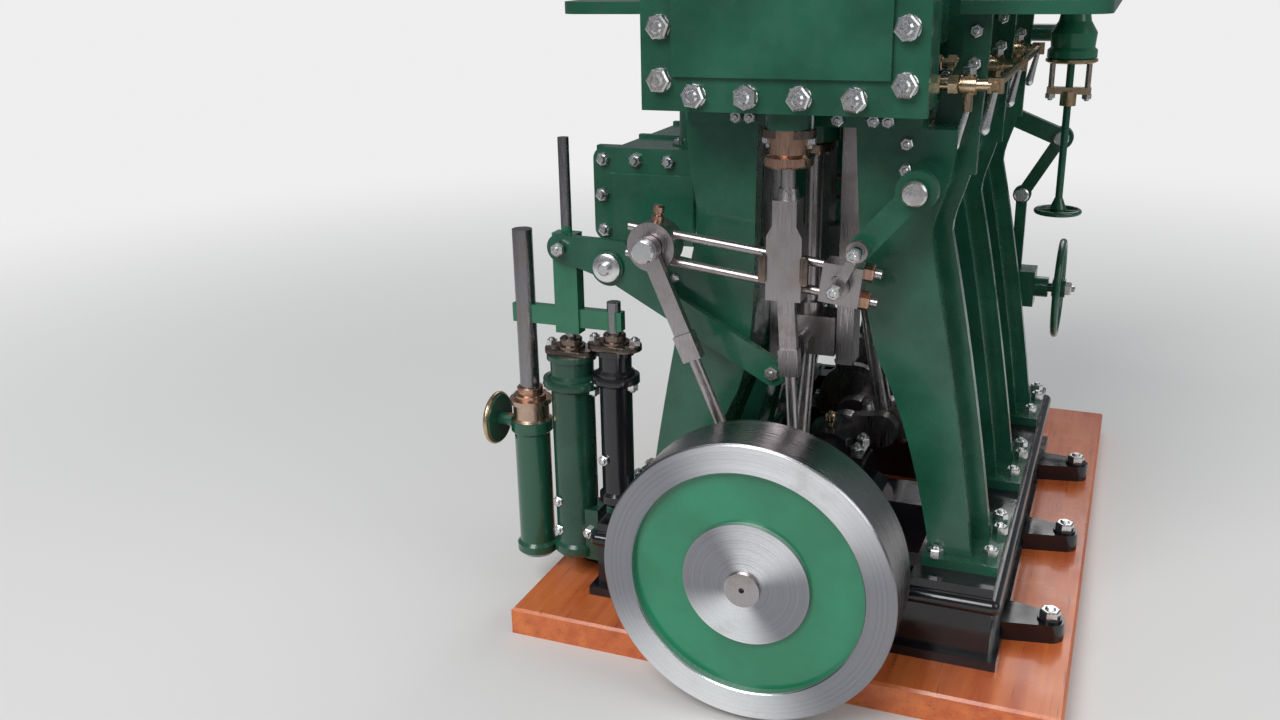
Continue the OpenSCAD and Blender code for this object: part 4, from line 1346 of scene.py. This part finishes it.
@dataclass
class Glands(Assembly):
    """The oval gland flanges, the valve glands' sleeves, and their studs and nuts."""

    valve_flange: Plate = Plate(7.4, 4.9, 2.4)
    valve_z: float = 150.6
    valve_stud: Pair = (5.6, 150.2)
    sleeve: Turned = Turned(
        ((6.4, 0.0), (6.8, 0.5), (6.8, 2.6), (5.4, 3.4), (5.4, 7.6)), vertices=24
    )
    sleeve_z: float = 143.0
    piston_flange: Plate = Plate(9.0, 5.6, 2.2)
    piston_z: float = 143.4
    piston_stud: Pair = (6.8, 143.2)
    stud: Turned = Turned(((0.95, 0.0), (0.95, 9.0)), vertices=10)
    nut: Fastener = Fastener(3.4, 1.8, 0.95, 1.2)

    def build(self) -> None:
        """Places a flange, two studs and two nuts at each gland, and three sleeves."""
        bronze, copper = self.finishes.bronze, self.finishes.copper
        valves, pistons, sleeves, studs, nuts = [], [], [], [], []
        off, foot = self.valve_stud
        for y, _ in self.plan.gears:
            valves.append(Seat(0.0, y, self.valve_z))
            sleeves.append(Seat(0.0, y, self.sleeve_z))
            for x in (-off, off):
                studs.append(Seat(x, y, foot))
                nuts.append(Seat(x, y, self.valve_z, Axis.DOWN, 11.0 * x))
        off, foot = self.piston_stud
        for plane in self.plan.planes:
            pistons.append(Seat(0.0, plane, self.piston_z, turn=90.0))
            for y in (-off, off):
                studs.append(Seat(0.0, plane + y, foot))
                nuts.append(Seat(0.0, plane + y, self.piston_z, Axis.DOWN, 11.0 * y))
        self.put("valve_gland_flanges", self.valve_flange, valves, bronze)
        self.put("valve_gland_sleeves", self.sleeve, sleeves, copper)
        self.put("piston_gland_flanges", self.piston_flange, pistons, copper)
        self.put("gland_studs", self.stud, studs)
        self.put("gland_nuts", self.nut, nuts)


@dataclass
class BearingFittings(Assembly):
    """The nuts and oilers of the main bearings and the bolts of the big ends.

    A bearing is given by its middle and half its length. The short ones have one row of nuts.
    """

    bearings: tuple[Pair, ...] = ((-90.2, 4.2), (-43.9, 9.0), (29.7, 7.1), (63.8, 4.2))
    one_row: float = 5.0
    nut: Fastener = Fastener(4.3, 2.4, 1.2, 1.3)
    nut_x: float = 10.25
    nut_z: float = 38.3
    cup: Turned = Turned(
        (
            (1.0, 0.0),
            (1.0, 1.0),
            (1.5, 1.2),
            (1.9, 2.0),
            (1.9, 3.8),
            (1.5, 4.3),
            (0.7, 4.5),
            (0.7, 5.0),
        )
    )
    cup_z: float = 45.6
    throw: float = 13.0
    rod: float = 66.0
    first_crank: float = 250.0
    crank_step: float = 120.0
    bolt: Fastener = Fastener(3.6, 2.0, 1.0, 1.0)
    bolt_off: float = 5.5

    def build(self) -> None:
        """Places the nuts, oilers and bolts."""
        nuts, cups, bolts = [], [], []
        for y, half in self.bearings:
            rows = (0.0,) if half < self.one_row else (-half / 2, half / 2)
            for row in rows:
                for x in (-self.nut_x, self.nut_x):
                    nuts.append(Seat(x, y + row, self.nut_z, turn=17.0 * x + y))
            cups.append(Seat(0.0, y, self.cup_z))
        for index, plane in enumerate(self.plan.planes):
            angle = math.radians(self.first_crank + self.crank_step * index)
            x, z = self.throw * math.cos(angle), SHAFT_Z + self.throw * math.sin(angle)
            lean = math.asin(-x / self.rod)
            bolts += bolt_pairs((x, z), plane, lean, self.bolt_off, self.bolt_off, 0.0, 10.0)
        self.put("bearing_nuts", self.nut, nuts)
        self.put("bearing_oilers", self.cup, cups, self.finishes.brass)
        self.put("big_end_nuts", self.bolt, bolts)


@dataclass
class GearFittings(Assembly):
    """Nuts, pins and bronze pieces of the valve gear."""

    strap_nut: Fastener = Fastener(3.0, 1.7, 0.85, 0.8)
    strap_lug: Pair = (13.1, 2.5)
    strap_turn: float = 15.0
    ahead_turn: float = 150.0
    astern_turn: float = -30.0
    bar_nut: Fastener = Fastener(4.8, 2.6, 1.3, 2.0)
    bar_end: float = 5.4
    bar_off: float = 4.0
    oiler: Turned = Turned(
        ((1.8, 0.0), (1.8, 1.6), (1.2, 1.8), (1.2, 2.4), (1.7, 2.7), (1.7, 4.2), (1.2, 4.7))
    )
    oiler_off: float = 7.0
    drag_nut: Fastener = Fastener(3.6, 1.8, 1.0, 0.6)
    drag_off: float = 10.8
    pin_end: Turned = Turned(((3.4, 0.0), (3.4, 0.9), (2.9, 1.3)), vertices=24)
    pin_off: float = 9.2
    slipper: Plate = Plate(4.2, 1.2, 1.0)
    slipper_place: Point = (5.9, 3.5, 115.0)
    shaft_cap: Turned = Turned(((3.4, 0.0), (3.4, 1.2), (2.9, 1.8), (1.0, 2.0)), vertices=28)
    shaft_end: float = 4.0
    arm_pin: Turned = Turned(((2.8, 0.0), (2.8, 1.0), (2.3, 1.5)))
    arm_pins: tuple[Point, ...] = ((59.0, 18.4, 128.0), (46.0, 22.6, 105.0))

    def build(self) -> None:
        """Places the pieces on the straps, links, dies and weigh shaft."""
        self._straps()
        self._links()
        self._shaft_ends()

    def _straps(self) -> None:
        """Bolts the two halves of each eccentric strap together."""
        plan = self.plan
        seats = []
        for index, (spindle, way) in enumerate(plan.gears):
            ahead = plan.on_link(plan.link_start(index))
            rods = ((self.ahead_turn, ahead, way), (self.astern_turn, plan.astern_pin, -way))
            for turn, top, side in rods:
                x = plan.sheave_throw * math.cos(math.radians(turn))
                z = SHAFT_Z + plan.sheave_throw * math.sin(math.radians(turn))
                lean = math.atan2(top[0] - x, top[1] - z)
                y = spindle + side * plan.sheave_off
                seats += bolt_pairs((x, z), y, lean, *self.strap_lug, turn=self.strap_turn)
        self.put("strap_nuts", self.strap_nut, seats)

    def _links(self) -> None:
        """Adds the bronze nuts, die plates, oilers and pin ends of the three links."""
        plan, copper = self.plan, self.finishes.copper
        lean = plan.link_lean
        off, front, height = self.slipper_place
        bars, pins, oilers, dies, ends = [], [], [], [], []
        for index, (spindle, way) in enumerate(plan.gears):
            axis = Axis.facing(way)
            for above in (-self.bar_off, self.bar_off):
                x, z = plan.on_link(plan.link_length + self.bar_end, above)
                bars.append(Seat(x, spindle, z, Axis.RIGHT, 30.0 * above, lean))
            x, z = plan.on_link(plan.link_start(index), self.oiler_off)
            oilers.append(Seat(x, spindle, z, lean=lean))
            for x, z in (plan.arm_end, plan.link_right):
                pins.append(Seat(x, spindle + way * self.drag_off, z, axis, 12.0 * x))
            x, z = plan.on_link(plan.link_start(index))
            ends.append(Seat(x, spindle + way * self.pin_off, z, axis))
            for x in (-off, off):
                dies.append(Seat(x, spindle + way * front, height, axis, 90.0))
        self.put("link_bar_nuts", self.bar_nut, bars, copper)
        self.put("drag_link_nuts", self.drag_nut, pins)
        self.put("link_oilers", self.oiler, oilers, copper)
        self.put("link_pin_ends", self.pin_end, ends)
        self.put("die_slippers", self.slipper, dies, self.finishes.bronze)

    def _shaft_ends(self) -> None:
        """Caps the weigh shaft and the pins of the reversing arm."""
        x, z = self.plan.weigh
        (front, _), _, (rear, _) = self.plan.gears
        ends = [
            Seat(x, front - self.shaft_end, z, Axis.FRONT),
            Seat(x, rear + self.shaft_end, z, Axis.BACK),
        ]
        self.put("weigh_shaft_caps", self.shaft_cap, ends)
        rear = self.plan.planes[2]
        seats = [Seat(x, rear + y, z, Axis.FRONT) for x, y, z in self.arm_pins]
        self.put("reversing_pin_ends", self.arm_pin, seats)


@dataclass
class CondenserNuts(Assembly):
    """Nuts and panels of the condenser's end covers, and the nuts of its exhaust flange."""

    faces: tuple[tuple[float, Axis], ...] = ((-56.9, Axis.FRONT), (63.2, Axis.BACK))
    nut: Fastener = Fastener(4.0, 1.6, 1.5, 1.3)
    across: tuple[float, ...] = (-75.2, -63.8, -52.4, -41.0)
    rows: Pair = (110.8, 134.2)
    edges: Pair = (-75.8, -40.4)
    middle: float = 122.5
    panel: Slab = Slab(29.0, 23.0, 1.2)
    panel_place: Pair = (-58.0, 118.5)
    flange_nut: Fastener = Fastener(2.8, 1.4, 0.7, 0.5)
    flange: Point = (-48.0, -41.4, 138.4)
    flange_radius: float = 7.0

    def build(self) -> None:
        """Places the nuts and panels."""
        seats = []
        for face, axis in self.faces:
            seats += [Seat(x, face, z, axis, 13.0 * x) for x in self.across for z in self.rows]
            seats += [Seat(x, face, self.middle, axis, 5.0 * x) for x in self.edges]
        self.put("condenser_nuts", self.nut, seats)
        x, z = self.panel_place
        panels = [Seat(x, face, z, axis) for face, axis in self.faces]
        self.put("condenser_panels", self.panel, panels, self.finishes.green)
        x, y, z = self.flange
        circle = bolt_circle(x, y, self.flange_radius, 4)
        seats = [Seat(x, y, z, turn=20.0) for x, y, _ in circle]
        self.put("exhaust_flange_nuts", self.flange_nut, seats)


@dataclass
class PumpFittings(Assembly):
    """Glands, flanges, nuts and the small wheel of the pumps, and the pins of their beam."""

    line: float = -90.0
    feed: float = -89.0
    air: float = -73.5
    bilge: float = -58.4
    gland: Turned = Turned(
        ((5.4, 0.0), (5.4, 1.4), (4.3, 1.6), (4.3, 3.6), (3.9, 4.0)), vertices=24
    )
    gland_z: float = 61.0
    bush: Turned = Turned(
        ((4.6, 0.0), (4.6, 1.0), (3.6, 1.2), (3.6, 3.0), (3.2, 3.4)), vertices=24
    )
    bush_z: Pair = (79.8, 82.6)
    flange: Plate = Plate(8.8, 5.2, 1.8)
    flange_z: Pair = (78.0, 81.0)
    air_collar: Plate = Plate(9.6, 8.1, 2.8)
    air_collar_z: float = 67.2
    bilge_collar: Plate = Plate(7.8, 6.3, 2.6)
    bilge_collar_z: float = 70.2
    nut: Fastener = Fastener(3.2, 1.8, 1.0, 0.7)
    nut_off: float = 6.8
    nut_z: Pair = (79.8, 82.8)
    clamp: Pair = (-1.6, -12.6)
    clamp_off: Pair = (8.2, 6.4)
    face_nuts: tuple[Point, ...] = (
        (-77.4, -95.2, 28.0),
        (-77.4, -95.2, 17.7),
        (-61.0, -94.2, 44.5),
        (-67.2, -95.0, 18.0),
    )
    wheel_z: float = 52.0
    rim: Ring = Ring(8.0, 0.9)
    rim_off: float = 12.9
    hub: Turned = Turned(
        ((2.8, 0.0), (2.8, 0.6), (1.6, 1.0), (1.6, 2.2), (1.0, 2.6)), vertices=16
    )
    hub_off: float = 14.0
    pivot: Turned = Turned(
        ((4.4, 0.0), (4.4, 0.8), (3.8, 1.2), (2.0, 1.2), (2.0, 2.6), (1.5, 3.0)), vertices=24
    )
    pivot_place: Point = (-57.5, -96.2, 108.5)
    pin_nut: Fastener = Fastener(3.8, 1.6, 1.0, 0.6)
    pins: tuple[Point, ...] = ((-73.5, -96.5, 113.0), (-6.0, -95.0, 80.5))
    screw: Turned = Turned(((1.4, 0.0), (1.4, 0.6), (0.9, 1.0)), vertices=14)
    screws: tuple[Point, ...] = ((-45.5, -90.0, 107.2), (-38.0, -90.0, 105.4))

    def build(self) -> None:
        """Places the pieces."""
        self._tops()
        self._nuts()
        self._wheel()
        self._beam()

    def _tops(self) -> None:
        """Adds the glands, flanges and collars on the three pumps."""
        pumps, finishes = (self.air, self.bilge), self.finishes
        feed = ((self.feed, self.gland_z),)
        air, bilge = ((self.air, self.air_collar_z),), ((self.bilge, self.bilge_collar_z),)
        tops = (
            ("feed_gland", self.gland, feed, finishes.copper),
            ("pump_bushes", self.bush, zip(pumps, self.bush_z), finishes.bronze),
            ("pump_gland_flanges", self.flange, zip(pumps, self.flange_z), finishes.bronze),
            # The air pump's collar has the darker enamel, painted shade.
            ("air_pump_collar", self.air_collar, air, finishes.pump),
            ("bilge_pump_collar", self.bilge_collar, bilge, finishes.black),
        )
        for name, shape, places, finish in tops:
            self.put(name, shape, [Seat(x, self.line, z) for x, z in places], finish)

    def _nuts(self) -> None:
        """Adds the nuts on the glands, under the collars and on the pumps' faces."""
        seats = []
        ahead, below = self.clamp
        for x, z, reach in zip((self.air, self.bilge), self.nut_z, self.clamp_off):
            for side in (-1, 1):
                seats.append(Seat(x + side * self.nut_off, self.line, z, turn=12.0 * x))
                place = (x + side * reach, self.line + ahead, z + below)
                seats.append(Seat(*place, Axis.DOWN, 30.0))
        seats += [Seat(x, y, z, Axis.FRONT, 11.0 * z) for x, y, z in self.face_nuts]
        self.put("pump_nuts", self.nut, seats)

    def _wheel(self) -> None:
        """Adds the small wheel at the feed pump's side."""
        rim = [Seat(self.feed - self.rim_off, self.line, self.wheel_z, Axis.LEFT)]
        self.put("feed_wheel_rim", self.rim, rim, self.finishes.brass)
        hub = [Seat(self.feed - self.hub_off, self.line, self.wheel_z, Axis.LEFT)]
        self.put("feed_wheel_hub", self.hub, hub)

    def _beam(self) -> None:
        """Adds the pivot, pin nuts and bracket screws of the pump beam."""
        self.put("beam_pivot", self.pivot, [Seat(*self.pivot_place, Axis.FRONT)])
        self.put("beam_pin_nuts", self.pin_nut, [Seat(*pin, Axis.FRONT) for pin in self.pins])
        seats = [Seat(*screw, Axis.FRONT, screw[0]) for screw in self.screws]
        self.put("bracket_screws", self.screw, seats)


@dataclass
class SteamFittings(Assembly):
    """Unions, cocks and handles of the drain pipes, and nuts of the stop valve and pipe flanges."""

    drain_y: float = -8.0
    drain_z: float = 163.0
    union: Fastener = Fastener(4.8, 2.6, 0.0, 0.0)
    unions: Pair = (4.0, 8.5)
    outer_union: float = 38.0
    cock: Fastener = Fastener(3.4, 1.8, 0.9, 0.8)
    cock_x: float = 43.0
    cock_z: float = 166.0
    lever: Turned = Turned(
        ((0.8, 0.0), (1.0, 4.0), (1.3, 9.0), (1.5, 10.0), (1.2, 11.0), (0.6, 11.5)), vertices=12
    )
    lever_z: float = 156.6
    lever_lean: float = 16.0
    rod: Point = (50.0, -1.6, 161.5)
    rod_lean: float = 12.0
    valve_x: float = 61.0
    yoke_nut: Fastener = Fastener(3.2, 1.7, 0.9, 0.7)
    yoke_off: float = 6.2
    yoke_z: float = 146.6
    bonnet: Turned = Turned(((8.0, 0.0), (8.9, 0.5), (8.9, 1.4)), vertices=32)
    bonnet_z: float = 157.6
    inlet_nut: Fastener = Fastener(2.6, 1.4, 0.7, 0.5)
    inlet_radius: float = 6.9
    inlet_z: float = 187.5
    wheel_nut: Fastener = Fastener(4.6, 2.2, 1.2, 1.4)
    wheel_place: Point = (65.5, 21.4, 69.0)

    def build(self) -> None:
        """Places the pieces."""
        self._drains()
        self._valve()

    def _drains(self) -> None:
        """Adds the unions, nuts and levers of the drain cocks."""
        unions, cocks, levers = [], [], []
        rod_x, rod_y, rod_z = self.rod
        for plane, bore in zip(self.plan.planes, self.plan.bores):
            y = plane + self.drain_y
            for x in (*(bore + off for off in self.unions), self.outer_union):
                unions.append(Seat(x, y, self.drain_z, Axis.RIGHT, 20.0))
            cocks.append(Seat(self.cock_x, y, self.cock_z, turn=10.0))
            levers.append(Seat(self.cock_x, y, self.lever_z, Axis.DOWN, lean=self.lever_lean))
            levers.append(Seat(rod_x, y + rod_y, rod_z, Axis.DOWN, lean=self.rod_lean))
        self.put("drain_unions", self.union, unions, self.finishes.brass)
        self.put("cock_nuts", self.cock, cocks)
        self.put("cock_levers", self.lever, levers)

    def _valve(self) -> None:
        """Adds the stop valve's nuts and bonnet ring, and the reversing wheel's nut."""
        centre, rear = self.valve_x, self.plan.planes[2]
        pillars = [
            Seat(centre + x, rear, self.yoke_z, Axis.DOWN, 9.0 * x)
            for x in (-self.yoke_off, self.yoke_off)
        ]
        self.put("yoke_nuts", self.yoke_nut, pillars)
        ring = [Seat(centre, rear, self.bonnet_z)]
        self.put("bonnet_ring", self.bonnet, ring, self.finishes.brass)
        circle = bolt_circle(centre, rear, self.inlet_radius, 4)
        seats = [Seat(x, y, self.inlet_z, turn=math.degrees(angle)) for x, y, angle in circle]
        self.put("inlet_flange_nuts", self.inlet_nut, seats)
        x, y, z = self.wheel_place
        tip = [Seat(x, rear + y, z, Axis.RIGHT)]
        made = fasten(self.wheel_nut, tip, "reversing_wheel_nut", self.finishes.nut)
        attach(made, "reversing_wheel")
        LOG.info("placed %s", made.name)


@dataclass
class Studio:
    """Pale floor, soft light and the camera at the photograph's view.

    Lengths are in metres, angles in degrees, the lens and its sensor in millimetres. A lamp has a
    name, a place, a size and a power. The sky is given three times, each by a colour and a
    strength: as it lights, as it mirrors in metal and as the camera sees it.
    """

    place: Point = (0.0864, -0.4154, 0.2076)
    azimuth: float = 22.74
    elevation: float = 18.87
    roll: float = -1.21
    lens: float = 33.75
    sensor: float = 36.0
    near: float = 0.01
    floor_size: float = 6.0
    floor_colour: Colour = (0.74, 0.73, 0.71)
    floor_rough: float = 0.75
    floor_fade: Pair = (0.28, 0.85)
    aim: Point = (0.0, -0.02, 0.12)
    lamps: tuple[tuple[str, Point, float, float], ...] = (
        ("window_lamp", (-0.30, -1.15, 1.15), 0.9, 16.0),
        ("side_lamp", (1.0, -0.35, 0.75), 0.8, 3.0),
        ("back_lamp", (0.1, 1.1, 1.0), 0.9, 4.5),
    )
    lit: tuple[float, ...] = (0.80, 0.84, 0.90, 0.42)
    mirrored: tuple[float, ...] = (0.80, 0.82, 0.88, 0.20)
    seen: tuple[float, ...] = (0.86, 0.86, 0.86, 1.0)

    def build(self) -> None:
        """Makes the floor, the lamps, the world and the camera."""
        self._floor()
        self._lamps()
        self._world()
        self._camera()

    def _floor(self) -> None:
        """Makes a pale plain floor that fades out around the engine."""
        deselect()
        bpy.ops.mesh.primitive_plane_add(size=self.floor_size, location=(0, 0, 0))
        floor = bpy.context.object
        floor.name = "floor"
        g = Graph("pale_floor")
        where = g.place()
        across, along = g.axis(where, 0), g.axis(where, 1)
        radius = g.math("SQRT", across * across + along * along)
        colour = (*self.floor_colour, 1.0)
        plain = g.node("BsdfPrincipled", Base_Color=colour, Roughness=self.floor_rough)
        both = g.node("MixShader")
        far = g.fade(radius, *self.floor_fade)
        sources = (far, g.out(plain), g.out(g.node("BsdfTransparent")))
        for socket, source in zip(both.inputs, sources):
            g.feed(socket, source)
        g.feed(g.node("OutputMaterial").inputs["Surface"], g.out(both))
        dress(floor, g.material)

    def _lamps(self) -> None:
        """Makes three soft area lamps."""
        for name, place, size, power in self.lamps:
            light = bpy.data.lights.new(name, "AREA")
            light.shape = "DISK"
            light.size = size
            light.energy = power
            lamp = bpy.data.objects.new(name, light)
            lamp.location = place
            aim = Vector(self.aim) - Vector(place)
            lamp.rotation_euler = aim.to_track_quat("-Z", "Y").to_euler()
            bpy.context.scene.collection.objects.link(lamp)

    def _world(self) -> None:
        """Makes a soft sky that lights plainly and shows pale to the camera and in metal."""
        world = bpy.data.worlds.new("studio")
        bpy.context.scene.world = world
        world.use_nodes = True
        nodes, links = world.node_tree.nodes, world.node_tree.links
        nodes.clear()
        rays = nodes.new("ShaderNodeLightPath")
        shades = []
        for *colour, strength in (self.lit, self.mirrored, self.seen):
            shade = nodes.new("ShaderNodeBackground")
            shade.inputs["Color"].default_value = (*colour, 1.0)
            shade.inputs["Strength"].default_value = strength
            shades.append(shade.outputs[0])
        plain, *others = shades
        for ray, other in zip(("Is Glossy Ray", "Is Camera Ray"), others):
            both = nodes.new("ShaderNodeMixShader")
            for socket, source in zip(both.inputs, (rays.outputs[ray], plain, other)):
                links.new(source, socket)
            plain = both.outputs[0]
        links.new(plain, nodes.new("ShaderNodeOutputWorld").inputs["Surface"])

    def _camera(self) -> None:
        """Puts the camera where the photograph was taken from."""
        a, e, r = (math.radians(v) for v in (self.azimuth, self.elevation, self.roll))
        back = Vector((math.sin(a) * math.cos(e), -math.cos(a) * math.cos(e), math.sin(e)))
        flat = Vector((math.cos(a), math.sin(a), 0))
        above = back.cross(flat)
        right = flat * math.cos(r) + above * math.sin(r)
        top = above * math.cos(r) - flat * math.sin(r)
        data = bpy.data.cameras.new("camera")
        data.sensor_width = self.sensor
        data.lens = self.lens
        data.clip_start = self.near
        camera = bpy.data.objects.new("camera", data)
        turn = Matrix((right, top, back)).transposed().to_4x4()
        camera.matrix_world = Matrix.Translation(Vector(self.place)) @ turn
        bpy.context.scene.collection.objects.link(camera)
        bpy.context.scene.camera = camera


def main() -> None:
    """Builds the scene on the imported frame."""
    logging.basicConfig(level=logging.INFO, format="%(name)s: %(message)s")
    bpy.context.scene.view_settings.view_transform = "Standard"
    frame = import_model()
    Studio().build()
    finishes = Finishes()
    Castings(finishes, nodes=frame["nodes"]).build()
    kinds = (
        ChestNuts,
        CylinderNuts,
        ColumnNuts,
        Glands,
        BearingFittings,
        GearFittings,
        CondenserNuts,
        PumpFittings,
        SteamFittings,
    )
    for kind in kinds:
        kind(finishes).build()
        LOG.info("built %s", kind.__name__)


if __name__ == "__main__":
    main()
